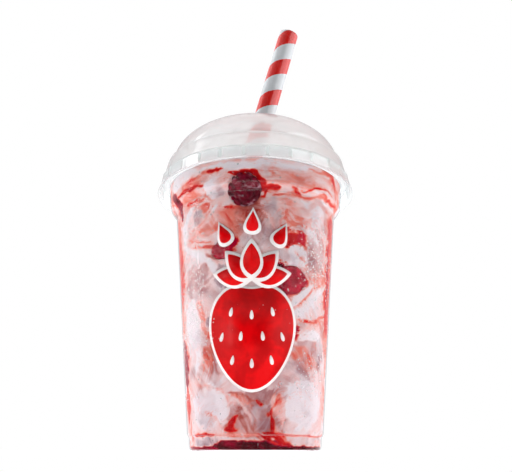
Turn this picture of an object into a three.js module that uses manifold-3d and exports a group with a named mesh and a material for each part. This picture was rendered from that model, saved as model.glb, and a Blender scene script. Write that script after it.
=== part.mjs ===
// A clear plastic cup of strawberry milkshake, with a domed lid and a striped paper straw.
// Millimetres, +Z up. The origin is the middle of the foot ring, on the surface that the cup stands on.
import * as THREE from "three";
import { mergeVertices } from "three/addons/utils/BufferGeometryUtils.js";
import Module from "manifold-3d";

// Fit between pieces, and how finely the round pieces are cut.
const CLEARANCE = 0.3;
const CUP_SEGMENTS = 48;
const LID_RIBS = 28;
const STRAW_SEGMENTS = 32;

// The cup: a thin tapered wall on a hollow foot, with a shoulder, a collar and a rolled rim.
const CUP_HEIGHT = 136.0;
const CUP_WALL = 0.6;
const FOOT_RADIUS = 31.6;
const FOOT_HEIGHT = 5.9;
const FOOT_RING_INNER = 27.8;
const FOOT_RING_OUTER = 30.2;
const PUNT_RADIUS = 22.5;
const PUNT_HEIGHT = 3.2;
const BODY_BOTTOM_RADIUS = 32.6;
const BODY_TOP_RADIUS = 41.4;
const BODY_TOP = 116.0;
const COLLAR_BOTTOM_RADIUS = 44.8;
const COLLAR_BOTTOM = 121.5;
const COLLAR_TOP_RADIUS = 45.9;
const BEAD_RADIUS = 1.6;
const RIM_RADIUS = 49.0;

// The shake: what fills the cup to just under its rim, with a spiral swirl on top.
const SHAKE_LEVEL = 131.1;
const SWIRL_CROWN = 2.4;
const SWIRL_DEPTH = 1.3;
const SWIRL_PITCH = 21;
const SWIRL_RINGS = 8;

// The lid: a ribbed skirt over the cup's rim, a plain band, and a dome with a straw hole.
const LID_WALL = 0.5;
const BRIM_RADIUS = 51.9;
const BRIM_HEIGHT = 128.9;
const SKIRT_BOTTOM_RADIUS = 50.4;
const SKIRT_TOP_RADIUS = 49.9;
const RIB_DEPTH = 0.4;
const BAND_BOTTOM_RADIUS = 49.0;
const BAND_TOP_RADIUS = 47.1;
const BAND_TOP = 145.3;
const DOME_RADIUS = 44.6;
const DOME_BASE = 145.7;
const DOME_RISE = 24.8;
const DOME_STEPS = 6;
const TOP_PLATE_RADIUS = 15;
const STRAW_HOLE_RADIUS = 11;

// The straw: a stiff paper tube that leans in the hole and stands in the shake.
const STRAW_RADIUS = 5.5;
const STRAW_WALL = 0.5;
const STRAW_LEAN = THREE.MathUtils.degToRad(15.1);
const STRAW_FOOT = { x: -27.8, z: 56.5 };
const STRAW_LENGTH = 181;

const wasm = await Module();
wasm.setup();

// Points [radius, height] along an arc of a circle, from one angle to another in degrees.
function arc(centreRadius, centreHeight, radius, from, to, steps) {
  return Array.from({ length: steps + 1 }, (_, i) => {
    const angle = THREE.MathUtils.degToRad(from + ((to - from) * i) / steps);
    return [centreRadius + radius * Math.cos(angle), centreHeight + radius * Math.sin(angle)];
  });
}

// The same profile moved towards the left of its direction of travel, with mitred corners.
function offset(profile, distance) {
  const normals = profile.slice(1).map(([r, z], i) => {
    const [r0, z0] = profile[i];
    const length = Math.hypot(r - r0, z - z0);
    return [-(z - z0) / length, (r - r0) / length];
  });
  return profile.map(([r, z], i) => {
    const before = normals[Math.max(i - 1, 0)];
    const after = normals[Math.min(i, normals.length - 1)];
    const sum = [before[0] + after[0], before[1] + after[1]];
    const scale = (2 * distance) / (sum[0] ** 2 + sum[1] ** 2);
    return [r < 1e-6 ? 0 : r + sum[0] * scale, z + sum[1] * scale];
  });
}

// A profile of [radius, height] points turned about the Z axis.
function turned(profile, segments) {
  const points = profile.map(([r, z]) => new THREE.Vector2(Math.max(r, 0), z));
  return new THREE.LatheGeometry(points, segments).rotateX(Math.PI / 2);
}

// The cup's outer face, from the middle of its underside to the top of its collar.
function cupOutside() {
  return [
    [0, PUNT_HEIGHT],
    [PUNT_RADIUS, PUNT_HEIGHT],
    [FOOT_RING_INNER - 1.2, 1.1],
    [FOOT_RING_INNER, 0],
    [FOOT_RING_OUTER, 0],
    [FOOT_RADIUS - 0.2, 1.0],
    [FOOT_RADIUS, FOOT_HEIGHT],
    [BODY_BOTTOM_RADIUS - 0.3, FOOT_HEIGHT + 0.9],
    [BODY_BOTTOM_RADIUS, FOOT_HEIGHT + 1.8],
    [BODY_TOP_RADIUS, BODY_TOP],
    [BODY_TOP_RADIUS + 0.9, BODY_TOP + 2.2],
    [COLLAR_BOTTOM_RADIUS - 0.7, COLLAR_BOTTOM - 1.5],
    [COLLAR_BOTTOM_RADIUS, COLLAR_BOTTOM],
    [COLLAR_TOP_RADIUS, CUP_HEIGHT - 2 * BEAD_RADIUS - 0.4],
  ];
}

// The cup with its rolled rim, as one closed profile.
function cupGeometry() {
  const outside = cupOutside();
  const bead = arc(RIM_RADIUS - BEAD_RADIUS, CUP_HEIGHT - BEAD_RADIUS, BEAD_RADIUS, -120, 180, 7);
  return turned([...outside, ...bead, ...offset(outside, CUP_WALL).reverse()], CUP_SEGMENTS);
}

// How far the top of the shake stands over its level at a point: a low crown with a spiral fold.
function swirl(x, y, edge) {
  const share = Math.min(Math.hypot(x, y) / edge, 1);
  const turn = Math.atan2(y, x) - (2 * Math.PI * share * edge) / SWIRL_PITCH;
  const fade = Math.sin(Math.PI * Math.min(share * 1.15, 1)) ** 0.8;
  return SWIRL_CROWN * (1 - share ** 2) + SWIRL_DEPTH * fade * Math.cos(turn);
}

// The drink: the inside of the cup up to its level, less the wall of the straw that stands in it.
function shakeGeometry() {
  const inside = offset(cupOutside(), CUP_WALL + CLEARANCE);
  const collar = inside.length - 2;
  const [low, high] = [inside[collar], inside[collar + 1]];
  const share = (SHAKE_LEVEL - low[1]) / (high[1] - low[1]);
  const edge = low[0] + (high[0] - low[0]) * share;
  const side = [...inside.slice(0, collar + 1), [edge, SHAKE_LEVEL]];
  const top = Array.from({ length: SWIRL_RINGS }, (_, i) => {
    return [edge * (1 - (i + 1) / SWIRL_RINGS), SHAKE_LEVEL];
  });
  const geometry = turned([...side, ...top], CUP_SEGMENTS);
  const positions = geometry.getAttribute("position");
  for (let i = 0; i < positions.count; i++) {
    const [x, y, z] = [positions.getX(i), positions.getY(i), positions.getZ(i)];
    const onTop = z > SHAKE_LEVEL - 1e-3 && Math.hypot(x, y) < edge - 1e-3;
    if (onTop) positions.setZ(i, z + swirl(x, y, edge));
  }
  const kerf = strawTube(STRAW_WALL + 2 * CLEARANCE, STRAW_RADIUS + CLEARANCE, -CLEARANCE);
  return meshOf(solidOf(geometry).subtract(solidOf(kerf.applyMatrix4(strawPlace()))));
}

// The dome's outer face: an ellipse from its foot to the edge of the plate round the straw hole.
function domeOutside() {
  const last = Math.acos(TOP_PLATE_RADIUS / DOME_RADIUS);
  return Array.from({ length: DOME_STEPS + 1 }, (_, i) => {
    const angle = (last * i) / DOME_STEPS;
    return [DOME_RADIUS * Math.cos(angle), DOME_BASE + DOME_RISE * Math.sin(angle)];
  });
}

// The lid's outer face, from the edge of its brim to the edge of its straw hole.
function lidOutside() {
  const rimTop = CUP_HEIGHT + CLEARANCE + LID_WALL;
  const dome = domeOutside();
  const plate = dome[DOME_STEPS][1] + 0.6;
  return [
    [BRIM_RADIUS, BRIM_HEIGHT],
    [BRIM_RADIUS - 0.1, BRIM_HEIGHT + 0.8],
    [SKIRT_BOTTOM_RADIUS, BRIM_HEIGHT + 1.3],
    [SKIRT_TOP_RADIUS, rimTop - 0.7],
    [SKIRT_TOP_RADIUS - 0.3, rimTop],
    [BAND_BOTTOM_RADIUS, rimTop + 0.4],
    [BAND_TOP_RADIUS, BAND_TOP],
    ...dome,
    [TOP_PLATE_RADIUS - 1.2, plate],
    [STRAW_HOLE_RADIUS, plate],
  ];
}

// The lid as a thin shell. Its skirt is pressed into ribs: every other meridian stands out.
function lidGeometry() {
  const outside = lidOutside();
  const profile = [...outside, ...offset(outside, LID_WALL).reverse(), outside[0]];
  const geometry = turned(profile, 2 * LID_RIBS);
  const ribbed = [2, 3, profile.length - 5, profile.length - 4];
  const positions = geometry.getAttribute("position");
  for (let i = 0; i < positions.count; i++) {
    const meridian = Math.floor(i / profile.length);
    if (meridian % 2 === 0 || !ribbed.includes(i % profile.length)) continue;
    const [x, y] = [positions.getX(i), positions.getY(i)];
    const scale = 1 + RIB_DEPTH / Math.hypot(x, y);
    positions.setXY(i, x * scale, y * scale);
  }
  return geometry;
}

// A tube of that wall and outer radius along Z, open at both ends, from the given start.
function strawTube(wall, radius, start = 0) {
  const inner = radius - wall;
  const section = [
    [inner, start],
    [radius, start],
    [radius, STRAW_LENGTH],
    [inner, STRAW_LENGTH],
    [inner, start],
  ];
  return turned(section, STRAW_SEGMENTS);
}

// Where the straw stands: its lower end in the shake, leaning to +X.
function strawPlace() {
  const lean = new THREE.Matrix4().makeRotationY(STRAW_LEAN);
  return lean.setPosition(STRAW_FOOT.x, 0, STRAW_FOOT.z);
}

// A closed geometry as a solid that can be cut and joined.
function solidOf(geometry) {
  const bare = new THREE.BufferGeometry();
  bare.setAttribute("position", geometry.getAttribute("position"));
  bare.setIndex(geometry.getIndex());
  const merged = mergeVertices(bare, 1e-3);
  const mesh = new wasm.Mesh({
    numProp: 3,
    vertProperties: merged.getAttribute("position").array,
    triVerts: new Uint32Array(merged.getIndex().array),
  });
  return new wasm.Manifold(mesh);
}

// A solid as a geometry again.
function meshOf(solid) {
  const mesh = solid.getMesh();
  const geometry = new THREE.BufferGeometry();
  geometry.setAttribute("position", new THREE.BufferAttribute(mesh.vertProperties, 3));
  geometry.setIndex(new THREE.BufferAttribute(mesh.triVerts, 1));
  geometry.computeVertexNormals();
  return geometry;
}

// A named mesh in its own material.
function piece(name, geometry, look) {
  const mesh = new THREE.Mesh(geometry, new THREE.MeshStandardMaterial(look));
  mesh.name = name;
  return mesh;
}

const clear = { metalness: 0, transparent: true, side: THREE.DoubleSide };
const cup = piece("cup", cupGeometry(), { ...clear, color: 0xf2f4f5, roughness: 0.06, opacity: 0.3 });
const lid = piece("lid", lidGeometry(), { ...clear, color: 0xe9ebec, roughness: 0.16, opacity: 0.4 });
const shake = piece("shake", shakeGeometry(), { color: 0xeab8b8, roughness: 0.45, metalness: 0 });
const straw = piece("straw", strawTube(STRAW_WALL, STRAW_RADIUS), {
  color: 0xd8242a,
  roughness: 0.5,
  metalness: 0,
});
straw.applyMatrix4(strawPlace());

const milkshake = new THREE.Group();
milkshake.add(cup, shake, lid, straw);

export default milkshake;
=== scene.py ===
"""Looks of a takeaway cup of strawberry milkshake.

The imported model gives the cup, the lid, the straw and the shake at their real size, and each is replaced here
by a finer piece of the same form. The fruit, the printed figure and the dew are made here alone. Sizes are in
millimetres until a mesh is made.
"""

from __future__ import annotations

import logging
import math
import random
from collections.abc import Iterable, Sequence
from dataclasses import dataclass, field, replace
from enum import Enum

import bmesh
import bpy
import numpy
from mathutils import Euler, Matrix, Vector, kdtree, noise


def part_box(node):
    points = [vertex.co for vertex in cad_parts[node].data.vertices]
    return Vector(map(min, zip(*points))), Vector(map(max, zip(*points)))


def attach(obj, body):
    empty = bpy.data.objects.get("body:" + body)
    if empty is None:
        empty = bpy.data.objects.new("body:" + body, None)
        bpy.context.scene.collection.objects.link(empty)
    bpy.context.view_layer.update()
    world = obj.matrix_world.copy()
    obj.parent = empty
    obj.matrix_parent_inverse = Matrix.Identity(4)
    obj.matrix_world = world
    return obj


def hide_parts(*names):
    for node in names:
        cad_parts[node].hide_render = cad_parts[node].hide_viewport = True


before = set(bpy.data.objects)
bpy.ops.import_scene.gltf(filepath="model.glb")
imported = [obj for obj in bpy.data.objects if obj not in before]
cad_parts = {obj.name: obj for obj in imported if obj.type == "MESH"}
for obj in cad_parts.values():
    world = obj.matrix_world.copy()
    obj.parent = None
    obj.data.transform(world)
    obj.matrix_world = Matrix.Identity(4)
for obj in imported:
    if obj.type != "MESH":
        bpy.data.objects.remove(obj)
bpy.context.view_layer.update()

MM = 0.001
CM_PER_M = 100.0
BODY = "root"
PURE_WHITE = (1, 1, 1, 1)

Colour = tuple[float, float, float, float]
Profile = list[tuple[float, float]]
Socket = bpy.types.NodeSocket
Value = float | Socket
Inputs = dict[str | int, object]
log = logging.getLogger("milkshake")


def colour(*screen: int) -> Colour:
    """Turns red, green and blue as a screen shows them, up to 255, into the linear colour of shaders."""
    shares = (value / 255 for value in screen)
    return (*(s / 12.92 if s <= 0.04045 else ((s + 0.055) / 1.055) ** 2.4 for s in shares), 1.0)


def ease(low: float, high: float, value: float | numpy.ndarray) -> float | numpy.ndarray:
    """Rises smoothly from 0 at low to 1 at high."""
    share = numpy.clip((value - low) / (high - low), 0.0, 1.0)
    return share * share * (3 - 2 * share)


def wrapped(degrees: float | numpy.ndarray) -> float | numpy.ndarray:
    """Brings an angle between -180 and 180 degrees."""
    return (degrees + 180) % 360 - 180


def swayed(point: Vector) -> Vector:
    """Gives a noise vector that is the same in every run, each part round 0."""
    return Vector(tuple(noise.noise(point + Vector((17.3, -5.9, 8.1)) * i) for i in range(3)))


def softened(profile: Profile, reach: float, steps: int = 4) -> Profile:
    """Rounds the inner corners of a profile with short curves.

    Args:
        profile: Points of radius and height.
        reach: How far from a corner its curve starts, at most.
        steps: Stretches in each curve.

    Returns:
        The profile with each corner replaced by a curve.
    """
    points = [Vector(point) for point in profile]
    curved = [points[0]]
    for before, corner, after in zip(points, points[1:], points[2:]):
        start = corner + (before - corner).normalized() * min(reach, 0.45 * (before - corner).length)
        end = corner + (after - corner).normalized() * min(reach, 0.45 * (after - corner).length)
        for i in range(steps + 1):
            t = i / steps
            curved.append(start * (1 - t) ** 2 + corner * (2 * t * (1 - t)) + end * t**2)
    return [(point.x, point.y) for point in (*curved, points[-1])]


def moved_in(profile: Profile, distance: float) -> Profile:
    """Moves a profile towards the left of its direction of travel, with mitred corners.

    Args:
        profile: Points of radius and height.
        distance: How far it moves.

    Returns:
        The parallel profile.
    """
    points = [Vector(point) for point in profile]
    ways = [(end - start).normalized() for start, end in zip(points, points[1:])]
    normals = [Vector((-way.y, way.x)) for way in ways]
    moved = []
    for i, point in enumerate(points):
        both = normals[max(i - 1, 0)] + normals[min(i, len(normals) - 1)]
        shifted = point + both * (2 * distance / both.length_squared)
        moved.append((0.0 if point.x < 1e-6 else shifted.x, shifted.y))
    return moved


def height_on(profile: Profile, height: float) -> float:
    """Finds a profile's radius at a height.

    Args:
        profile: Points of radius and height, rising near that height.
        height: The height asked about.

    Returns:
        The radius of the last stretch that crosses that height.
    """
    radius = profile[-1][0] if height > profile[-1][1] else profile[0][0]
    for (r0, z0), (r1, z1) in zip(profile, profile[1:]):
        if z0 <= height <= z1 and z1 > z0:
            radius = r0 + (r1 - r0) * (height - z0) / (z1 - z0)
    return radius


def standing(radius: float, angle: float, height: float) -> Vector:
    """Gives the point, in metres, at a radius, an angle off the front in radians and a height."""
    return Vector((radius * math.sin(angle), -radius * math.cos(angle), height)) * MM


def turned(profile: Profile, segments: int, closed: bool) -> bmesh.types.BMesh:
    """Spins a profile about the upright axis.

    Args:
        profile: Points of radius and height, in millimetres.
        segments: Faces round the axis.
        closed: Whether the last point joins the first.

    Returns:
        A closed mesh in metres, facing outwards.
    """
    mesh = bmesh.new()
    verts = [mesh.verts.new((r * MM, 0.0, z * MM)) for r, z in profile]
    edges = [mesh.edges.new(pair) for pair in zip(verts, verts[1:])]
    if closed:
        edges.append(mesh.edges.new((verts[-1], verts[0])))
    outline = [*verts, *edges]
    bmesh.ops.spin(mesh, geom=outline, axis=(0, 0, 1), angle=math.tau, steps=segments, use_merge=True)
    bmesh.ops.remove_doubles(mesh, verts=mesh.verts[:], dist=2e-6)
    bmesh.ops.recalc_face_normals(mesh, faces=mesh.faces[:])
    return mesh


def sliced(mesh: bmesh.types.BMesh, way: Vector, places: Iterable[float]) -> None:
    """Cuts a mesh across, so that it has points in between its ends.

    Args:
        mesh: The mesh.
        way: The direction that the cuts follow one another in.
        places: How far that way each cut lies.
    """
    for place in places:
        parts = [*mesh.verts, *mesh.edges, *mesh.faces]
        bmesh.ops.bisect_plane(mesh, geom=parts, plane_co=way * place, plane_no=way)


def stored(name: str, mesh: bmesh.types.BMesh) -> bpy.types.Mesh:
    """Turns a mesh that was being shaped into one that an object can hold.

    Args:
        name: Its name.
        mesh: The mesh, which is used up.

    Returns:
        The new mesh.
    """
    data = bpy.data.meshes.new(name)
    mesh.to_mesh(data)
    mesh.free()
    return data


def added(data: bpy.types.Mesh | bpy.types.Camera) -> bpy.types.Object:
    """Puts an object of its data's name in the scene.

    Args:
        data: What the object holds.

    Returns:
        The new object.
    """
    thing = bpy.data.objects.new(data.name, data)
    bpy.context.scene.collection.objects.link(thing)
    return thing


def placed(
    data: bpy.types.Mesh, *materials: bpy.types.Material, slot: str | None = None, node: str | None = None
) -> bpy.types.Object:
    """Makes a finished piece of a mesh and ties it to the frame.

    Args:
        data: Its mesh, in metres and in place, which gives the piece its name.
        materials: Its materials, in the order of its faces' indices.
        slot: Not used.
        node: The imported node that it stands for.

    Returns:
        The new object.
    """
    data.shade_smooth()
    for material in materials:
        data.materials.append(material)
    piece = added(data)
    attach(piece, BODY)
    if node:
        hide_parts(node)
    return piece


class Wiring:
    """A node tree, with short calls for the nodes that the finishes and the light share."""

    def __init__(self, holder: bpy.types.Material | bpy.types.World) -> None:
        """Starts an empty tree.

        Args:
            holder: The material or the world that the tree belongs to.
        """
        holder.use_nodes = True
        self.holder = holder
        self.tree = holder.node_tree
        self.tree.nodes.clear()

    def fill(self, socket: Socket, value: object) -> None:
        """Links a node's input from another node, or sets it.

        Args:
            socket: The input.
            value: The other node's output, or what the input holds.
        """
        if isinstance(value, bpy.types.NodeSocket):
            self.tree.links.new(value, socket)
        else:
            socket.default_value = value

    def node(self, kind: str, inputs: Inputs | None = None, **settings: object) -> bpy.types.Node:
        """Adds a node.

        Args:
            kind: The node's type.
            inputs: What each input socket holds or is linked from.
            settings: The node's own properties.

        Returns:
            The node.
        """
        node = self.tree.nodes.new(kind)
        for key, value in settings.items():
            setattr(node, key, value)
        for key, value in (inputs or {}).items():
            self.fill(node.inputs[key], value)
        return node

    def out(self, kind: str, inputs: Inputs | None = None, **settings: object) -> Socket:
        """Adds a node as node() does and gives its first output."""
        return self.node(kind, inputs, **settings).outputs[0]

    def place(self, scale: float = 1.0) -> Socket:
        """Gives the surface's point in the object's own coordinates, times a scale."""
        return self.vector("SCALE", self.node("ShaderNodeTexCoord").outputs["Object"], scale)

    def split(self, vector: Socket) -> bpy.types.bpy_prop_collection:
        """Gives a vector's X, Y and Z."""
        return self.node("ShaderNodeSeparateXYZ", {0: vector}).outputs

    def math(self, operation: str, *values: Value, clamp: bool = False) -> Socket:
        """Works out a number from one to three numbers, kept from 0 to 1 if clamped."""
        return self.out("ShaderNodeMath", dict(enumerate(values)), operation=operation, use_clamp=clamp)

    def times(self, first: Value, second: Value) -> Socket:
        """Multiplies two numbers."""
        return self.math("MULTIPLY", first, second)

    def plus(self, first: Value, second: Value) -> Socket:
        """Adds two numbers."""
        return self.math("ADD", first, second)

    def vector(self, operation: str, first: Socket, second: object) -> Socket:
        """Works out a vector from a vector and another one, or from a vector and its scale."""
        inputs = {0: first, "Scale" if operation == "SCALE" else 1: second}
        return self.out("ShaderNodeVectorMath", inputs, operation=operation)

    def spread(self, value: Value, low: float, high: float, start: float = 0.0, end: float = 1.0) -> Socket:
        """Eases a number from the range low to high into the range start to end, and keeps it there."""
        inputs = {"Value": value, "From Min": low, "From Max": high, "To Min": start, "To Max": end}
        return self.out("ShaderNodeMapRange", inputs, interpolation_type="SMOOTHSTEP")

    def noise(
        self, point: Socket, scale: float, detail: float = 2.0, rough: float = 0.5, out: str = "Fac"
    ) -> Socket:
        """Gives noise at a point, as a number round 0.5 or as a colour."""
        inputs = {"Vector": point, "Scale": scale, "Detail": detail, "Roughness": rough}
        return self.node("ShaderNodeTexNoise", inputs).outputs[out]

    def pushed(self, point: Socket, scale: float, reach: float, detail: float = 1.0) -> Socket:
        """Pushes points about by noise, each about as far as the reach, as a stirred drink's are."""
        swirl = self.vector("SUBTRACT", self.noise(point, scale, detail, out="Color"), (0.5, 0.5, 0.5))
        return self.vector("ADD", point, self.vector("SCALE", swirl, reach))

    def blend(self, share: Value, first: object, second: object, how: str = "MIX") -> Socket:
        """Mixes two colours.

        Args:
            share: How much of the second colour shows.
            first: The first colour.
            second: The second colour.
            how: The blend mode.

        Returns:
            A colour socket.
        """
        node = self.node("ShaderNodeMix", data_type="RGBA", blend_type=how)
        shown = [socket for socket in node.inputs if socket.enabled]
        for socket, value in zip(shown, (share, first, second)):
            self.fill(socket, value)
        return next(socket for socket in node.outputs if socket.enabled)

    def ramp(self, value: Value, *stops: tuple[float, Colour]) -> Socket:
        """Turns a number into a colour.

        Args:
            value: The number, from 0 to 1.
            stops: Places and the colours there.

        Returns:
            A colour socket.
        """
        node = self.node("ShaderNodeValToRGB", {"Fac": value})
        elements = node.color_ramp.elements
        while len(elements) < len(stops):
            elements.new(0.5)
        for element, (position, shade) in zip(elements, stops):
            element.position = position
            element.color = shade
        return node.outputs["Color"]

    def bump(self, height: Socket, distance: float, strength: float) -> Socket:
        """Turns a height, where 1 stands for a distance in metres, into a normal."""
        return self.out("ShaderNodeBump", {"Height": height, "Distance": distance, "Strength": strength})

    def shader(self, **inputs: object) -> Socket:
        """Adds a Principled shader, its inputs named with underscores for spaces."""
        named = {key.replace("_", " "): value for key, value in inputs.items()}
        return self.out("ShaderNodeBsdfPrincipled", named)

    def soft(self, **inputs: object) -> Socket:
        """Adds a Principled shader for drink and fruit, which let a little light in."""
        return self.shader(Subsurface_Weight=0.15, Subsurface_Scale=MM, **inputs)

    def lit(self, tone: object, through: float) -> Socket:
        """Adds a white or tinted haze that is lit from the front, and by a share from behind."""
        sides = (self.out(f"ShaderNodeBsdf{kind}", {"Color": tone}) for kind in ("Diffuse", "Translucent"))
        return self.mixed(through, *sides)

    def mixed(self, share: Value, first: Socket, second: Socket) -> Socket:
        """Mixes two shaders by how much of the second shows."""
        return self.out("ShaderNodeMixShader", {0: share, 1: first, 2: second})

    def done(self, surface: Socket, kind: str = "Material") -> bpy.types.Material | bpy.types.World:
        """Ends the tree with its surface and gives what holds it."""
        self.node(f"ShaderNodeOutput{kind}", {"Surface": surface})
        return self.holder


@dataclass(frozen=True)
class BendHighlight:
    """A band along a bend in a turned wall, painted whiter as a stand-in for the highlight along the bend, over
    the plastic's own whitening there: its height, half its width and how white it is.
    """

    height: float
    half_width: float
    white: float


@dataclass(frozen=True)
class ClearPlastic:
    """Thin clear plastic, which mirrors more at a slant, has a faint fog and carries painted highlights that
    whiten it along its bends and ribs.

    Cold plastic also carries a mist of droplets, too fine to be made one by one.
    """

    name: str
    bends: tuple[BendHighlight, ...] = ()
    ribs: int = 0
    rib_low: float = 0.0
    rib_high: float = 0.0
    fog: float = 0.003
    mist: float = 0.0
    tint: Colour = colour(253, 253, 254)
    edge_tint: Colour = colour(196, 198, 202)
    fog_shade: Colour = colour(253, 253, 253)
    fog_edge: Colour = colour(212, 213, 215)
    through: float = 0.5
    shine: float = 0.006

    def painted_highlights(self, net: Wiring) -> Value:
        """Works out the painted highlights that whiten the bends and the ribs.

        Args:
            net: The material's nodes.

        Returns:
            A number from 0 to 1.
        """
        place = net.split(net.place())
        white: Value = 0.0
        for bend in self.bends:
            # Painted highlight in a band along each bend, over its own whitening.
            gap = net.math("ABSOLUTE", net.math("SUBTRACT", place["Z"], bend.height * MM))
            reach = bend.half_width * MM
            white = net.plus(white, net.spread(gap, reach, 0.25 * reach, 0.0, bend.white))
        if self.ribs:
            # Painted highlight along each rib's crest.
            turn = net.times(net.math("ARCTAN2", place["Y"], place["X"]), self.ribs)
            ridge = net.spread(net.math("COSINE", turn), -0.84, -0.96, 0.0, 0.9)
            above = net.spread(place["Z"], self.rib_low * MM, (self.rib_low + 0.8) * MM)
            below = net.spread(place["Z"], self.rib_high * MM, (self.rib_high - 0.8) * MM)
            white = net.math("MULTIPLY_ADD", net.times(above, below), ridge, white)
        return white

    def droplets(self, net: Wiring) -> Socket:
        """Works out where the mist whitens the wall: fine dots, in patches at the sides and the back.

        Args:
            net: The material's nodes.

        Returns:
            A number from 0 to 1.
        """
        place = net.place()
        parts = net.split(place)
        aside = net.math("ABSOLUTE", parts["X"])
        beside = net.times(net.spread(aside, 0.022, 0.028), net.spread(aside, 0.037, 0.034))
        around = net.math("MAXIMUM", beside, net.spread(parts["Y"], -0.005, 0.02))
        height = net.times(net.spread(parts["Z"], 0.026, 0.06), net.spread(parts["Z"], 0.112, 0.095))
        wet = net.times(net.times(around, height), net.spread(net.noise(place, 26.0), 0.38, 0.58))
        cells = net.node("ShaderNodeTexVoronoi", {"Vector": place, "Scale": 850.0}).outputs
        dots = net.spread(cells["Distance"], 0.46, 0.26)
        kept = net.spread(net.math("SUBTRACT", wet, net.split(cells["Color"])["X"]), -0.1, 0.1)
        return net.times(net.times(dots, kept), self.mist)

    def material(self) -> bpy.types.Material:
        """Builds the finish.

        Returns:
            The material.
        """
        net = Wiring(bpy.data.materials.new(self.name))
        point = net.place()
        outer = net.math("SUBTRACT", 1.0, net.node("ShaderNodeNewGeometry").outputs["Backfacing"])
        patches = net.noise(net.pushed(point, 30.0, 0.02), 22.0, 3.0, 0.6)
        facing = net.node("ShaderNodeLayerWeight", {"Blend": 0.5}).outputs["Facing"]
        patched = net.spread(patches, 0.3, 0.7, 0.8 * self.fog, 1.2 * self.fog)
        slanted = net.times(net.spread(facing, 0.35, 0.95), 0.8 * self.fog)
        # The fog, plus the painted highlights along bends and ribs.
        haze = net.math("ADD", net.plus(patched, slanted), self.painted_highlights(net), clamp=True)
        if self.mist:
            haze = net.math("MAXIMUM", haze, net.times(self.droplets(net), outer))
        deep = net.blend(net.spread(facing, 0.78, 1.0), self.tint, self.edge_tint)
        clear = net.out("ShaderNodeBsdfTransparent", {"Color": deep})
        fog_tone = net.blend(net.spread(facing, 0.45, 1.0), self.fog_shade, self.fog_edge)
        foggy = net.mixed(haze, clear, net.lit(fog_tone, self.through))
        ripple = net.bump(net.noise(point, 160.0), 0.0001, 0.15)
        mirror = net.out("ShaderNodeBsdfGlossy", {"Color": PURE_WHITE, "Roughness": 0.05, "Normal": ripple})
        aslant = net.times(net.math("POWER", facing, 5.0), 0.36)
        return net.done(net.mixed(net.times(net.plus(aslant, self.shine), outer), foggy, mirror))


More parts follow.
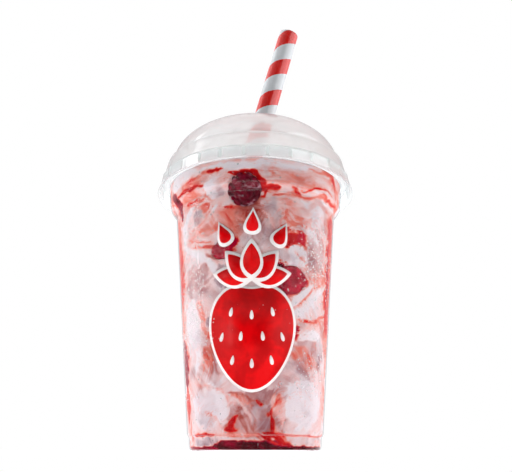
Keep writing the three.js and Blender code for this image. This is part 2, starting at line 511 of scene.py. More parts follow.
@dataclass(frozen=True)
class MarbledShake:
    """Whipped cream and milk with strawberry syrup folded through it.

    The mesh says in three attributes how much syrup and fruit each point holds and how much painted shade
    darkens it. The finish turns them into colour and adds the fine streaks that the mesh is too coarse for.
    """

    cream: Colour = colour(234, 222, 226)
    blush: Colour = colour(236, 198, 196)
    salmon: Colour = colour(232, 128, 112)
    red: Colour = colour(220, 20, 20)
    deep: Colour = colour(184, 0, 8)
    crimson: Colour = colour(184, 6, 54)
    maroon: Colour = colour(72, 0, 12)
    # The colour that painted shade darkens the drink towards.
    shadow: Colour = colour(166, 142, 154)

    @staticmethod
    def slanted(net: Wiring, point: Socket, twist: float) -> Socket:
        """Draws fine streaks that climb the wall at a slant, as a whisk leaves them.

        Args:
            net: The material's nodes.
            point: The place in centimetres.
            twist: Radians that a streak goes round in each centimetre of height.

        Returns:
            A number round 0.5.
        """
        inputs = {"Vector": point, "Angle": net.times(net.split(point)["Z"], twist)}
        swung = net.out("ShaderNodeVectorRotate", inputs, rotation_type="Z_AXIS")
        return net.noise(net.vector("MULTIPLY", swung, (1.0, 1.0, 0.22)), 2.3, 4.0, 0.62)

    def streaks(self, net: Wiring, point: Socket) -> Socket:
        """Draws the streaks: level near the top, where the shake swung round the rim, and slanted below.

        Args:
            net: The material's nodes.
            point: The place in centimetres.

        Returns:
            A number round 0.
        """
        stirred = net.pushed(net.pushed(point, 0.28, 2.6), 0.8, 0.6, 2.0)
        leaning = self.slanted(net, stirred, 0.22)
        falling = self.slanted(net, stirred, -0.3)
        swung = net.vector("MULTIPLY", net.pushed(point, 0.45, 1.3, 2.0), (0.3, 0.3, 1.5))
        level = net.noise(swung, 2.4, 4.0, 0.6)
        place = net.noise(point, 0.45)
        side = net.spread(place, 0.44, 0.56)
        below = net.math("MULTIPLY_ADD", net.math("SUBTRACT", falling, leaning), side, leaning)
        height = net.math("MULTIPLY_ADD", place, 5.0, net.split(point)["Z"])
        high = net.spread(height, 12.4, 14.2)
        both = net.math("MULTIPLY_ADD", net.math("SUBTRACT", level, below), high, below)
        return net.math("SUBTRACT", both, 0.5)

    def material(self) -> bpy.types.Material:
        """Builds the finish.

        Returns:
            The material.
        """
        net = Wiring(bpy.data.materials.new("marbled_shake"))
        point = net.place(CM_PER_M)
        strand = self.streaks(net, point)
        veined = net.spread(net.noise(point, 0.8), 0.48, 0.64)
        vein = net.times(net.spread(net.math("ABSOLUTE", strand), 0.014, 0.0), veined)
        speck = net.math("SUBTRACT", net.noise(point, 16.0, 2.0, 0.7), 0.5)
        crease_shade = net.noise(net.pushed(point, 0.5, 1.2), 0.75)
        held = {}
        # The third attribute is painted shade, drawn out along the streaks.
        marks = (("syrup", 0.24, 1.25, 0.14), ("fruit", 0.0, 1.0, 0.25), ("painted_shade", 0.3, 0.6, 0.0))
        for mark, least, most, speckled in marks:
            amount = net.node("ShaderNodeAttribute", attribute_name=mark).outputs["Fac"]
            drawn = net.math("MULTIPLY_ADD", strand, net.math("MULTIPLY_ADD", amount, most, least), amount)
            held[mark] = net.math("MULTIPLY_ADD", speck, speckled, drawn, clamp=True)
        syrup = net.math("MULTIPLY_ADD", vein, 0.26, held["syrup"], clamp=True)
        # Painted shade: the marked shade, plus broad noise that darkens the creases between billows.
        painted_shade = net.math("ADD", held["painted_shade"], net.spread(crease_shade, 0.48, 0.66, 0.0, 0.3), clamp=True)
        stops = zip((0.04, 0.20, 0.42, 0.66, 0.95), (self.cream, self.blush, self.salmon, self.red, self.deep))
        dimmed = net.spread(painted_shade, 0.08, 1.0, 0.0, 0.95)
        dimmed = net.blend(dimmed, net.ramp(syrup, *stops), self.shadow, "MULTIPLY")
        fruity = net.ramp(held["fruit"], (0.4, self.crimson), (0.95, self.maroon))
        surface = net.soft(
            Base_Color=net.blend(net.spread(held["fruit"], 0.18, 0.6), dimmed, fruity),
            Roughness=net.spread(syrup, 0.1, 0.7, 0.5, 0.3),
            Normal=net.bump(strand, 0.0008, 0.4),
            Specular_IOR_Level=0.04,
            Subsurface_Radius=(1.0, 0.35, 0.25),
        )
        return net.done(surface)


@dataclass(frozen=True)
class FruitSkin:
    """Soft fruit in syrup, dark and glossy, with pale smears that are partly milk caught on it and partly
    painted highlight.
    """

    name: str
    dark: Colour
    bright: Colour
    milk: Colour
    milk_and_highlight_share: float

    def material(self) -> bpy.types.Material:
        """Builds the finish.

        Returns:
            The material.
        """
        net = Wiring(bpy.data.materials.new(self.name))
        point = net.place(CM_PER_M)
        mottle = net.noise(net.pushed(point, 1.5, 0.5), 3.0, 3.0)
        flesh = net.blend(net.spread(mottle, 0.35, 0.65), self.dark, self.bright)
        drawn = net.vector("MULTIPLY", net.pushed(point, 2.0, 0.4), (1.0, 1.0, 2.2))
        # Pale smears, partly milk caught on the fruit and partly painted highlight.
        smear = net.noise(drawn, 1.5, 3.0, 0.6)
        surface = net.soft(
            Base_Color=net.blend(net.spread(smear, 0.54, 0.68, 0.0, self.milk_and_highlight_share), flesh, self.milk),
            Roughness=net.spread(smear, 0.4, 0.7, 0.22, 0.5),
            Normal=net.bump(net.noise(point, 9.0), 0.0003, 0.4),
            Specular_IOR_Level=0.12,
            Subsurface_Radius=(1.0, 0.2, 0.2),
        )
        return net.done(surface)


@dataclass(frozen=True)
class SpiralPaper:
    """Waxed paper with one red stripe wound round it."""

    foot: tuple[float, float, float]
    lean: float
    lead: float
    start: float
    half_stripe: float = 0.244
    red: Colour = colour(236, 18, 6)
    white: Colour = colour(230, 235, 240)
    scuffed: Colour = colour(224, 208, 206)

    def material(self) -> bpy.types.Material:
        """Builds the finish.

        Returns:
            The material.
        """
        net = Wiring(bpy.data.materials.new("striped_paper"))
        inputs = {
            "Vector": net.node("ShaderNodeTexCoord").outputs["Object"],
            "Location": tuple(value * MM for value in self.foot),
            "Rotation": (0.0, self.lean, 0.0),
        }
        local = net.out("ShaderNodeMapping", inputs, vector_type="TEXTURE")
        parts = net.split(local)
        turn = net.math("DIVIDE", net.math("ARCTAN2", parts["Y"], parts["X"]), math.tau)
        wound = net.math("SUBTRACT", net.math("DIVIDE", parts["Z"], self.lead * MM), turn)
        phase = net.math("FRACT", net.plus(wound, self.start))
        middle = net.math("ABSOLUTE", net.math("SUBTRACT", phase, 0.5))
        fibre = net.noise(net.vector("MULTIPLY", local, (1.0, 1.0, 0.4)), 1400.0, 3.0, 0.6)
        wavy = net.math("MULTIPLY_ADD", net.math("SUBTRACT", fibre, 0.5), 0.03, middle)
        inked = net.spread(wavy, self.half_stripe - 0.006, self.half_stripe + 0.006)
        seam = net.spread(net.math("ABSOLUTE", net.math("SUBTRACT", middle, self.half_stripe)), 0.0, 0.02)
        shade = net.blend(inked, self.red, self.white)
        surface = net.shader(
            Base_Color=net.blend(net.spread(fibre, 0.35, 0.8, 0.0, 0.06), shade, self.scuffed),
            Roughness=net.spread(fibre, 0.3, 0.7, 0.3, 0.42),
            Normal=net.bump(net.math("MULTIPLY_ADD", fibre, 0.3, seam), 0.00012, 0.6),
            Specular_IOR_Level=0.15,
            Coat_Weight=0.7,
            Coat_Roughness=0.22,
            Coat_IOR=1.6,
        )
        return net.done(surface)


@dataclass(frozen=True)
class ScreenInk:
    """Ink printed on the cup, which lets a little of the drink show through."""

    name: str
    shade: Colour
    thin_shade: Colour
    cover: float = 0.97

    def material(self) -> bpy.types.Material:
        """Builds the finish.

        Returns:
            The material.
        """
        net = Wiring(bpy.data.materials.new(self.name))
        point = net.place(CM_PER_M)
        uneven = net.noise(net.pushed(point, 0.6, 0.8), 0.9, 3.0, 0.55)
        tone = net.blend(net.spread(uneven, 0.38, 0.64), self.thin_shade, self.shade)
        weave = net.bump(net.noise(point, 60.0, 1.0), 0.00002, 0.4)
        surface = net.shader(Base_Color=tone, Roughness=0.34, Specular_IOR_Level=0.08, Normal=weave)
        cover = net.spread(uneven, 0.2, 0.8, self.cover - 0.06, self.cover + 0.06)
        return net.done(net.mixed(cover, net.out("ShaderNodeBsdfTransparent"), surface))


@dataclass(frozen=True)
class DewDrop:
    """Fine frosty dew on cold plastic."""

    clear: Colour = (0.98, 0.98, 0.99, 1.0)
    frost: Colour = colour(253, 252, 253)

    def material(self) -> bpy.types.Material:
        """Builds the finish.

        Returns:
            The material.
        """
        net = Wiring(bpy.data.materials.new("dew"))
        clear = net.out("ShaderNodeBsdfTransparent", {"Color": self.clear})
        cloud = net.spread(net.noise(net.place(CM_PER_M), 14.0), 0.35, 0.65, 0.45, 0.8)
        frosty = net.mixed(cloud, clear, net.lit(self.frost, 0.5))
        spark = net.out("ShaderNodeBsdfGlossy", {"Color": PURE_WHITE, "Roughness": 0.25})
        return net.done(net.mixed(0.04, frosty, spark))


@dataclass
class ClearCup:
    """The tapered cup: foot, body, shoulder, collar and rolled rim."""

    wall: float = 0.6
    foot_radius: float = 31.6
    foot_height: float = 5.9
    foot_ring: tuple[float, float] = (27.8, 30.2)
    punt_radius: float = 22.5
    punt_height: float = 3.2
    body_bottom_radius: float = 32.6
    body_top_radius: float = 41.4
    body_top: float = 116.0
    collar_bottom: tuple[float, float] = (44.8, 121.5)
    collar_top_radius: float = 45.9
    bead_radius: float = 1.6
    bead_steps: int = 16
    segments: int = 180
    height: float = field(default_factory=lambda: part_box("cup")[1][2] / MM)
    rim_radius: float = field(default_factory=lambda: (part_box("cup")[1][0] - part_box("cup")[0][0]) / 2 / MM)

    def outside(self) -> Profile:
        """Gives the outer face, from the middle of the underside to the top of the collar.

        Returns:
            Points of radius and height.
        """
        collar_radius, collar_height = self.collar_bottom
        corners = [
            (0.0, self.punt_height),
            (self.punt_radius, self.punt_height),
            (self.foot_ring[0] - 1.2, 1.1),
            (self.foot_ring[0], 0.0),
            (self.foot_ring[1], 0.0),
            (self.foot_radius - 0.2, 1.0),
            (self.foot_radius, self.foot_height),
            (self.body_bottom_radius - 0.3, self.foot_height + 0.9),
            (self.body_bottom_radius, self.foot_height + 1.8),
            (self.body_top_radius, self.body_top),
            (self.body_top_radius + 0.9, self.body_top + 2.2),
            (collar_radius - 0.7, collar_height - 1.5),
            (collar_radius, collar_height),
            (self.collar_top_radius, self.height - 2 * self.bead_radius - 0.4),
        ]
        return softened(corners, 1.1)

    def inside(self, reach: float = 0.0) -> Profile:
        """Gives the inner face, or one that reaches some way into the wall."""
        return moved_in(self.outside(), self.wall - reach)

    def on_wall(self, azimuth: float, height: float, out: float = 0.0) -> Vector:
        """Finds the point of the outer wall at degrees off the front and a height, or one so far out of it."""
        return standing(height_on(self.outside(), height) + out, math.radians(azimuth), height)

    def plastic(self) -> ClearPlastic:
        """Gives the cup's plastic, with painted highlights whitening it at the foot's step, in the shoulder and
        under the rim.

        Returns:
            The plastic.
        """
        bends = (
            BendHighlight(self.foot_height + 0.7, 0.5, 0.22),
            BendHighlight(self.body_top + 1.0, 0.35, 0.16),
            BendHighlight(self.collar_bottom[1] - 0.9, 0.35, 0.12),
            BendHighlight(self.height - self.bead_radius - 0.4, 2.2, 0.5),
        )
        return ClearPlastic("cup_plastic", bends, mist=0.9)

    def build(self) -> list[bpy.types.Object]:
        """Makes the cup.

        Returns:
            Its one piece.
        """
        angles = (math.radians(-120 + 300 * i / self.bead_steps) for i in range(self.bead_steps + 1))
        round_bead = [(self.bead_radius * math.cos(a), self.bead_radius * math.sin(a)) for a in angles]
        middle = (self.rim_radius - self.bead_radius, self.height - self.bead_radius)
        bead = [(middle[0] + right, middle[1] + up) for right, up in round_bead]
        mesh = turned([*self.outside(), *bead, *reversed(self.inside())], self.segments, False)
        data = stored("clear_cup", mesh)
        return [placed(data, self.plastic().material(), slot="cup_plastic", node="cup")]


@dataclass
class DomedLid:
    """The lid: a ribbed skirt, a band and a dome with a straw hole."""

    cup: ClearCup
    wall: float = 0.5
    clearance: float = 0.3
    brim_height: float = 128.9
    skirt_radii: tuple[float, float] = (50.4, 49.9)
    rib_count: int = 28
    rib_depth: float = 0.4
    rib_steps: int = 10
    band_radii: tuple[float, float] = (49.0, 47.1)
    band_top: float = 145.3
    dome_radius: float = 44.6
    dome_base: float = 145.7
    dome_rise: float = 24.8
    dome_steps: int = 28
    plate_radius: float = 15.0
    hole_radius: float = 11.0
    brim_radius: float = field(default_factory=lambda: (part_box("lid")[1][0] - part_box("lid")[0][0]) / 2 / MM)

    def outside(self) -> Profile:
        """Gives the outer face, from the edge of the brim over an elliptic dome to the edge of the straw hole.

        Returns:
            Points of radius and height.
        """
        last = math.acos(self.plate_radius / self.dome_radius)
        angles = [last * i / self.dome_steps for i in range(self.dome_steps + 1)]
        radius, rise = self.dome_radius, self.dome_rise
        dome = [(radius * math.cos(a), self.dome_base + rise * math.sin(a)) for a in angles]
        rim_top = self.cup.height + self.clearance + self.wall
        plate = dome[-1][1] + 0.6
        skirt = [
            (self.brim_radius, self.brim_height),
            (self.brim_radius - 0.1, self.brim_height + 0.8),
            (self.skirt_radii[0], self.brim_height + 1.3),
            (self.skirt_radii[1], rim_top - 0.7),
            (self.skirt_radii[1] - 0.3, rim_top),
            (self.band_radii[0], rim_top + 0.4),
            (self.band_radii[1], self.band_top),
            dome[0],
            dome[1],
        ]
        top = [dome[-1], (self.plate_radius - 1.2, plate), (self.hole_radius, plate)]
        return [*softened(skirt, 0.5), *dome[2:-1], *softened(top, 0.5)]

    def plastic(self) -> ClearPlastic:
        """Gives the lid's plastic, foggy all over, with painted highlights whitening its rings and ribs.

        Returns:
            The plastic.
        """
        rim_top = self.cup.height + self.clearance
        bends = (
            BendHighlight(self.brim_height + 0.6, 1.8, -0.2),
            BendHighlight(rim_top + 1.0, 9.0, 0.14),
            BendHighlight(rim_top + 0.4, 0.8, 0.4),
            BendHighlight(self.band_top + 0.1, 0.7, 0.4),
            BendHighlight(self.outside()[-1][1] - 0.4, 0.6, 0.2),
        )
        look = {"fog": 0.4, "fog_shade": colour(247, 254, 253), "through": 0.85, "shine": 0.05}
        return ClearPlastic("lid_plastic", bends, self.rib_count, self.brim_height + 2.0, rim_top - 0.4, **look)

    def build(self) -> list[bpy.types.Object]:
        """Makes the lid.

        Returns:
            Its one piece.
        """
        profile = [*self.outside(), *reversed(moved_in(self.outside(), self.wall))]
        mesh = turned(profile, self.rib_count * self.rib_steps, True)
        rim_top = self.cup.height + self.clearance
        for vert in mesh.verts:
            height = vert.co.z / MM
            above = ease(self.brim_height + 0.7, self.brim_height + 1.6, height)
            share = above * (1 - ease(rim_top - 0.9, rim_top + 0.4, height))
            out = (0.5 - 0.5 * math.cos(math.atan2(vert.co.y, vert.co.x) * self.rib_count)) ** 3
            vert.co.xy *= 1 + self.rib_depth * MM * out * share / vert.co.xy.length
        data = stored("domed_lid", mesh)
        return [placed(data, self.plastic().material(), slot="lid_plastic", node="lid")]


@dataclass
class PaperStraw:
    """The straw, which leans to +X and stands in the shake."""

    radius: float = 5.5
    wall: float = 0.5
    nip: float = 0.12
    lean: float = math.radians(15.1)
    foot: tuple[float, float, float] = (-27.8, 0.0, 56.5)
    length: float = 181.0
    lead: float = 20.6
    stripe_start: float = 0.711
    segments: int = 48
    cut_every: int = 4

    def build(self) -> list[bpy.types.Object]:
        """Makes the straw.

        Returns:
            Its one piece.
        """
        inner = self.radius - self.wall
        section = [
            (inner + self.nip, 0.0),
            (self.radius - self.nip, 0.0),
            (self.radius, self.nip),
            (self.radius, self.length - self.nip),
            (self.radius - self.nip, self.length),
            (inner + self.nip, self.length),
            (inner, self.length - self.nip),
            (inner, self.nip),
        ]
        mesh = turned(section, self.segments, True)
        heights = range(self.cut_every, int(self.length), self.cut_every)
        sliced(mesh, Vector((0, 0, 1)), (height * MM for height in heights))
        turn = Matrix.Translation(Vector(self.foot) * MM) @ Matrix.Rotation(self.lean, 4, "Y")
        bmesh.ops.transform(mesh, matrix=turn, verts=mesh.verts[:])
        paper = SpiralPaper(self.foot, self.lean, self.lead, self.stripe_start)
        straw = placed(stored("paper_straw", mesh), paper.material(), slot="straw_paper", node="straw")
        straw.data.set_sharp_from_angle(angle=math.radians(50))
        return [straw]


class Tone(Enum):
    """What a mark in the drink is made of: its shares of syrup and of fruit, and how much painted shade darkens
    it.
    """

    # The third share is painted shade, which darkens a tone towards a grey mauve. The shaded tones are milk and
    # syrup under painted shade; the pale, blush, wash and maroon tones carry a little.
    WHITE = (0.02, 0.0, 0.0)
    PALE = (0.15, 0.0, 0.2)
    SHADED_LILAC = (0.1, 0.0, 0.6)
    BLUSH = (0.23, 0.0, 0.07)
    WASH = (0.33, 0.0, 0.05)
    SALMON = (0.43, 0.0, 0.0)
    SHADED_ROSE = (0.42, 0.08, 0.6)
    BROWN = (0.5, 0.14, 0.85)
    SHADED_MAUVE = (0.26, 0.12, 0.6)
    RED = (0.7, 0.0, 0.0)
    DEEP = (1.0, 0.03, 0.0)
    CRIMSON = (0.85, 0.5, 0.0)
    MAROON = (1.0, 0.95, 0.3)


WHITE, PALE, SHADED_LILAC, BLUSH, WASH, SALMON, SHADED_ROSE, BROWN, SHADED_MAUVE, RED, DEEP, CRIMSON, MAROON = Tone


@dataclass(frozen=True)
class Lump:
    """A lump of one tone pressed against the wall: where, how large, how tilted and how it ends."""

    azimuth: float
    height: float
    half_width: float
    half_height: float
    tone: Tone
    tilt: float = 0.0
    soft: float = 1.6
    cover: float = 1.0
    rim: Tone | None = None
    rim_side: float = 180.0
    crisp_side: float = 90.0


@dataclass(frozen=True)
class Run:
    """A run of syrup or cream along the wall, which may fade out to its left (+) or its right (-)."""

    places: tuple[tuple[float, float], ...]
    half_width: float
    tone: Tone
    fade: float = 0.0
    cover: float = 1.0
    even: bool = False


Mark = Lump | Run


class FruitKind(Enum):
    """The kinds of fruit in the drink."""

    BERRY = "berry"
    SLICE = "slice"


@dataclass(frozen=True)
class Fruit:
    """One piece of fruit against the wall."""

    kind: FruitKind
    azimuth: float
    height: float
    size: tuple[float, float, float]
    depth: float
    lumps: int = 40


FRUIT = (
    Fruit(FruitKind.BERRY, -7.0, 118.4, (8.4, 6.0, 9.2), 2.6, 64),
    Fruit(FruitKind.SLICE, 27.0, 76.0, (8.6, 4.0, 7.2), 2.6),
    Fruit(FruitKind.SLICE, -24.5, 89.5, (5.6, 4.0, 4.8), 2.4),
    Fruit(FruitKind.BERRY, 117.0, 84.0, (8.0, 6.0, 8.8), 2.8, 60),
    Fruit(FruitKind.SLICE, 163.0, 58.0, (8.8, 4.0, 6.6), 2.6),
    Fruit(FruitKind.BERRY, 208.0, 101.0, (7.4, 6.0, 8.0), 2.6, 56),
    Fruit(FruitKind.SLICE, 246.0, 40.0, (7.6, 4.0, 8.6), 2.6),
)


FRONT_MARKS: tuple[Mark, ...] = (
    # The collar, right of the berry: pale lilac with thin streaks of syrup.
    # A band of white cream under the brim, laid lighter than the drink there as painted light over the shade
    # under the lid.
    Run(((-64, 130.5), (-30, 129), (0, 128.8), (34, 129.6), (64, 131)), 2.0, WHITE, fade=-1.6, even=True),
    Lump(20, 127.6, 13, 3.2, BLUSH, tilt=6, soft=1.6),
    Lump(20, 121.4, 14, 1.8, WASH, soft=2.0, cover=0.8),
    Lump(48, 125.4, 13, 4.0, BLUSH, soft=2.4),
    Run(((0, 129.4), (20, 129.6), (40, 130.4)), 1.3, WHITE, fade=1.5, cover=0.8),
    Run(((8, 126.4), (11, 124.9), (14, 123.9), (22, 123.8), (33, 124.3)), 0.8, SALMON, fade=1.6, cover=0.8),
    Run(((10, 125.2), (12, 124.6)), 0.5, RED, cover=0.8),
    Run(((12, 121.4), (18, 120.9), (27, 121.3), (40, 123.0)), 0.6, WASH, fade=1.0),
    Run(((35, 129.7), (43, 130.6), (54, 130.6), (62, 129.6), (68, 126.3), (74, 119.6)), 0.9, SALMON, fade=-1.6),
    Run(((58, 130.0), (65, 127), (69, 122)), 0.8, RED, fade=-1.5, cover=0.85),
    Lump(28, 118.9, 2.6, 0.7, DEEP, tilt=-12, soft=0.6),
    Run(((31, 118.9), (35, 120.4), (40, 121.6), (47, 122.0), (56, 122.0), (61, 121.4)), 0.5, RED, fade=0.8),
    Lump(37, 118.3, 4.5, 0.7, WHITE, tilt=8, soft=0.6),
    Run(((10, 114.4), (17, 115.6), (26, 116.5), (36, 117.2), (47, 118.6), (61, 118.8)), 0.6, SALMON, fade=-2.2),
    Run(((12, 115.2), (20, 115.9)), 0.45, RED, cover=0.7),
    Run(((52, 118.0), (64, 117.6), (78, 117.0)), 0.8, WHITE, fade=-1.0),
    Run(((50, 120.2), (63, 119.6), (77, 118.9)), 0.45, RED, fade=-0.8, cover=0.8),
    Lump(60, 113.5, 1.0, 0.7, RED, soft=0.8, cover=0.8),
    # The berry's red edge and the syrup that it drew along.
    Run(
        ((-16, 125.6), (-10, 126.6), (-4, 126.8), (0.5, 125.2), (3.6, 122.1), (4.8, 119.0), (4.5, 115.6)),
        1.1,
        DEEP,
    ),
    Run(((1.5, 123.6), (4.4, 120.6), (4.2, 117.6)), 1.5, DEEP, fade=-0.6),
    Run(((4, 118.4), (9, 118.5), (15.5, 118.8)), 0.9, DEEP, fade=-0.8),
    Lump(13.6, 118.6, 1.5, 1.1, DEEP, soft=0.5),
    Lump(5.5, 113.9, 0.8, 0.7, RED, soft=0.6),
    Run(((-21, 110.0), (-16, 109.0), (-12, 108.8), (-7, 110.0), (-2, 112.0)), 0.8, DEEP, fade=-1.2),
    # The wash of syrup over the left shoulder, under a smear of cream.
    Run(((-70, 124.5), (-60, 127.4), (-50, 128.6), (-40, 130.0)), 1.8, WHITE, fade=1.0),
    Lump(-44, 123.9, 12.5, 2.6, SALMON, tilt=13, soft=1.8, cover=0.85),
    Run(((-56, 122.0), (-50, 123.4), (-41, 125.6), (-33, 126.8)), 0.5, RED, fade=1.6, cover=0.7),
    Run(((-31, 127.8), (-25, 127.6), (-19.5, 127.3)), 0.85, DEEP, fade=-0.6),
    Run(((-62, 121.3), (-54, 120.9), (-44, 121.2), (-38, 120.9), (-33.5, 121.6)), 0.4, DEEP, fade=0.6),
    Lump(-47, 118.4, 8.6, 1.7, SALMON, soft=1.0, cover=0.75),
    Run(((-56, 116.0), (-46, 116.1), (-38.5, 116.1)), 0.5, RED, fade=-1.2),
    Lump(-27, 119.0, 6.0, 4.6, PALE, tilt=10, soft=1.0, rim=SALMON, rim_side=180, crisp_side=180),
    Lump(-31, 119.4, 2.8, 3.8, WHITE, tilt=20, soft=1.2, crisp_side=180),
    Lump(-20, 121.0, 2.6, 3.2, BLUSH, soft=1.6),
    Run(((-72, 124), (-68, 120.5), (-67.5, 116), (-67, 109)), 2.6, MAROON, fade=-1.6, cover=0.7),
    Run(((-62, 120.4), (-66, 118.6)), 1.0, MAROON, fade=-1.0, cover=0.8),
    # Under the shoulder.
    # A broad painted shade over the middle of the front.
    Lump(0, 103, 18.0, 9.0, SHADED_MAUVE, soft=4.0, cover=0.5),
    Lump(-15, 105, 9.0, 6.5, SALMON, tilt=20, soft=3.0, cover=0.6),
    Lump(-21, 102.4, 5.6, 7.4, SALMON, tilt=10, soft=3.2, cover=0.7),
    Lump(-2, 107.4, 8.4, 5.6, SHADED_ROSE, tilt=18, soft=3.0, cover=0.95),
    Lump(-4, 109.6, 4.4, 2.6, BROWN, tilt=25, soft=2.0, cover=0.55),
    Run(((-14, 105.4), (-8, 103.8), (-4, 102.4)), 0.4, SALMON, fade=1.0, cover=0.8),
    Lump(13, 107.5, 6.0, 6.4, SHADED_LILAC, tilt=15, soft=3.0, cover=0.55),
    Lump(10, 111.8, 3.4, 1.6, PALE, tilt=10, soft=1.2),
    Run(((5, 107.4), (9, 103), (11, 98)), 0.7, BLUSH, fade=1.8, cover=0.8),
    Lump(28, 110.4, 8.6, 4.6, WASH, tilt=-6, soft=3.0, cover=0.9),
    Lump(44, 111.5, 11.0, 4.4, WHITE, tilt=-8, soft=2.6, cover=0.85),
    Lump(30, 108.6, 7.0, 2.0, SALMON, tilt=14, soft=2.6, cover=0.7),
    Lump(40, 106.0, 7.0, 5.0, BLUSH, tilt=-20, soft=3.0, cover=0.7),
    Lump(31, 113.0, 4.4, 1.2, RED, soft=1.8, cover=0.25),
    Run(((22, 109), (21.5, 105), (24, 102.4), (30, 101.8), (36, 103)), 0.8, RED, fade=2.8, cover=0.45),
    Lump(31, 103.6, 6.0, 2.4, SALMON, tilt=8, soft=2.4, cover=0.8),
    # Pale lumps on the right shoulder, laid lighter as painted light where the light from the right falls.
    Lump(49, 110.0, 9.5, 7.0, BLUSH, tilt=-16, soft=3.0, cover=0.8),
    Lump(49, 108.6, 6.4, 5.6, WHITE, tilt=-16, soft=2.8, cover=0.85),
    Lump(-39, 110.9, 4.6, 2.8, RED, tilt=50, soft=2.2, cover=0.6, crisp_side=0),
    Lump(-44, 107.4, 4.6, 4.2, SHADED_LILAC, tilt=30, soft=1.4),
    Lump(-44, 106.6, 1.8, 1.5, SHADED_MAUVE, soft=1.6, cover=0.8),
    Run(((-27, 111.4), (-30, 108.3), (-35, 105.2), (-40, 101.8), (-51, 99.6)), 1.6, WHITE, fade=-1.2),
    Run(((-30, 111.4), (-36, 106.5), (-42, 103.4), (-54, 101.4)), 0.35, SALMON, cover=0.7),
    Run(((-26, 104.5), (-34, 101.4), (-46, 97.8)), 0.35, WASH, fade=-1.6),
    Run(((-48, 113.5), (-54, 110.5), (-60, 105), (-60, 98), (-57, 92)), 1.7, WHITE, fade=1.0),
    Lump(-40, 98.6, 10.5, 3.4, SALMON, tilt=8, soft=2.6, cover=0.55),
    Lump(-36, 104.5, 6.0, 3.0, SALMON, tilt=35, soft=2.6, cover=0.5),
    # Beside the printed figure, upper half.
    Run(((-52, 96.2), (-42, 95.4), (-32, 93.6)), 0.35, RED, fade=0.8, cover=0.7),
    Lump(-21, 91.0, 6.4, 4.4, CRIMSON, tilt=12, soft=0.9),
    Run(((-50, 93.8), (-42, 92.8), (-30, 92.2)), 1.0, CRIMSON, fade=1.4, cover=0.55),
    Run(((-44, 89.6), (-36, 88.2), (-28, 85.8)), 1.1, BROWN, fade=-1.2, cover=0.6),
    Run(((-62, 96.5), (-52, 91.4), (-42, 87.0), (-33, 81.6), (-30, 74.6)), 2.1, WHITE, fade=-1.0),
    Lump(-23, 77.2, 5.6, 5.6, SHADED_LILAC, soft=1.0, rim=SHADED_MAUVE, rim_side=0),
    Lump(-43, 79.0, 4.6, 6.6, SHADED_MAUVE, tilt=-12, soft=1.8, cover=0.8),
    Lump(-53, 77.0, 5.0, 9.5, SHADED_MAUVE, soft=2.4, cover=0.55),
    Lump(24, 94.4, 6.0, 5.0, DEEP, tilt=-6, soft=0.8),
    Run(((17, 98.6), (23, 98.8), (31, 99.6)), 0.5, SALMON, fade=0.8),
    Lump(34.5, 94.8, 3.8, 5.0, CRIMSON, tilt=-14, soft=2.2, cover=0.7),
    Lump(50, 87, 7.0, 15.0, SHADED_MAUVE, soft=2.5, cover=0.75),
    Lump(52, 76, 6.0, 6.0, SALMON, tilt=20, soft=3.2, cover=0.5),
    Run(((40, 101), (46, 99.2), (50, 95)), 1.3, WHITE, fade=-1.4),
    Lump(27, 76.0, 9.4, 7.6, CRIMSON, tilt=-12, soft=1.2),
    Lump(17, 80.0, 5.6, 2.4, MAROON, tilt=-24, soft=1.2),
    Lump(22, 71.4, 3.2, 4.4, MAROON, tilt=20, soft=1.8, cover=0.6),
    Lump(32, 86.2, 5.2, 5.4, WHITE, tilt=-35, soft=0.9),
    Run(((29, 88.6), (32, 86.4), (36, 84.6)), 0.7, SALMON, fade=1.4, cover=0.8),
    Run(((19, 83.4), (26, 82.0), (36, 82.6)), 0.9, PALE, fade=0.8),
    # Beside the printed figure, lower half.
    Lump(-54, 56.5, 6.4, 12.4, WHITE, soft=1.6),
    Run(((-48, 67), (-44, 60), (-41, 54), (-34, 49)), 2.6, SALMON, fade=2.4, cover=0.75),
    Run(((-43, 63.4), (-41, 57.4), (-37, 52.6)), 0.5, SALMON, fade=-1.6, cover=0.8),
    Run(((-36, 52.4), (-32, 49.4), (-28, 49.6)), 1.4, RED, fade=-1.5, cover=0.65),
    Lump(-21, 56.2, 9.0, 5.4, SHADED_LILAC, soft=0.9, rim=SALMON, rim_side=-90),
    Lump(-39, 39.0, 6.0, 6.4, SHADED_MAUVE, tilt=20, soft=2.6, cover=0.75),
    Lump(-37, 42.0, 3.4, 5.0, RED, tilt=10, soft=2.4, cover=0.5),
    Run(((-48, 45), (-47, 40), (-49, 35)), 1.4, WHITE, fade=1.4),
    Lump(31.5, 51.2, 1.3, 5.4, CRIMSON, tilt=-8, soft=0.8),
    Run(((27, 63.6), (36, 68.4), (47, 72.6)), 1.7, WHITE, fade=1.5),
    Run(((29, 59), (44, 66.0), (54, 69.8), (66, 73.6)), 2.2, WHITE, fade=-2.4),
    Run(((29, 62.4), (38, 66.4), (47, 70.0), (63, 76.0)), 0.45, SALMON, fade=-1.0),
    Run(((33, 57.6), (44, 57.0), (54, 58.6), (67, 62.4)), 1.0, SALMON, fade=-2.6),
    Run(((38, 57.0), (46, 56.6), (54, 58.0)), 0.5, RED, fade=1.0, cover=0.7),
    Lump(48, 50.0, 7.0, 4.0, WHITE, tilt=10, soft=2.2),
    Lump(42, 41.6, 11.5, 7.4, SHADED_MAUVE, tilt=6, soft=3.0, cover=0.85),
    Lump(36, 43.0, 4.0, 3.0, RED, soft=2.6, cover=0.45),
    Lump(49, 38.6, 4.6, 2.6, RED, tilt=-14, soft=2.4, cover=0.35),
    Lump(55, 46.0, 3.6, 3.0, RED, tilt=20, soft=2.6, cover=0.25),
    Lump(59, 45, 3.6, 5.6, SHADED_LILAC, soft=2.0, cover=0.7),
    # Under the printed figure, down to the foot.
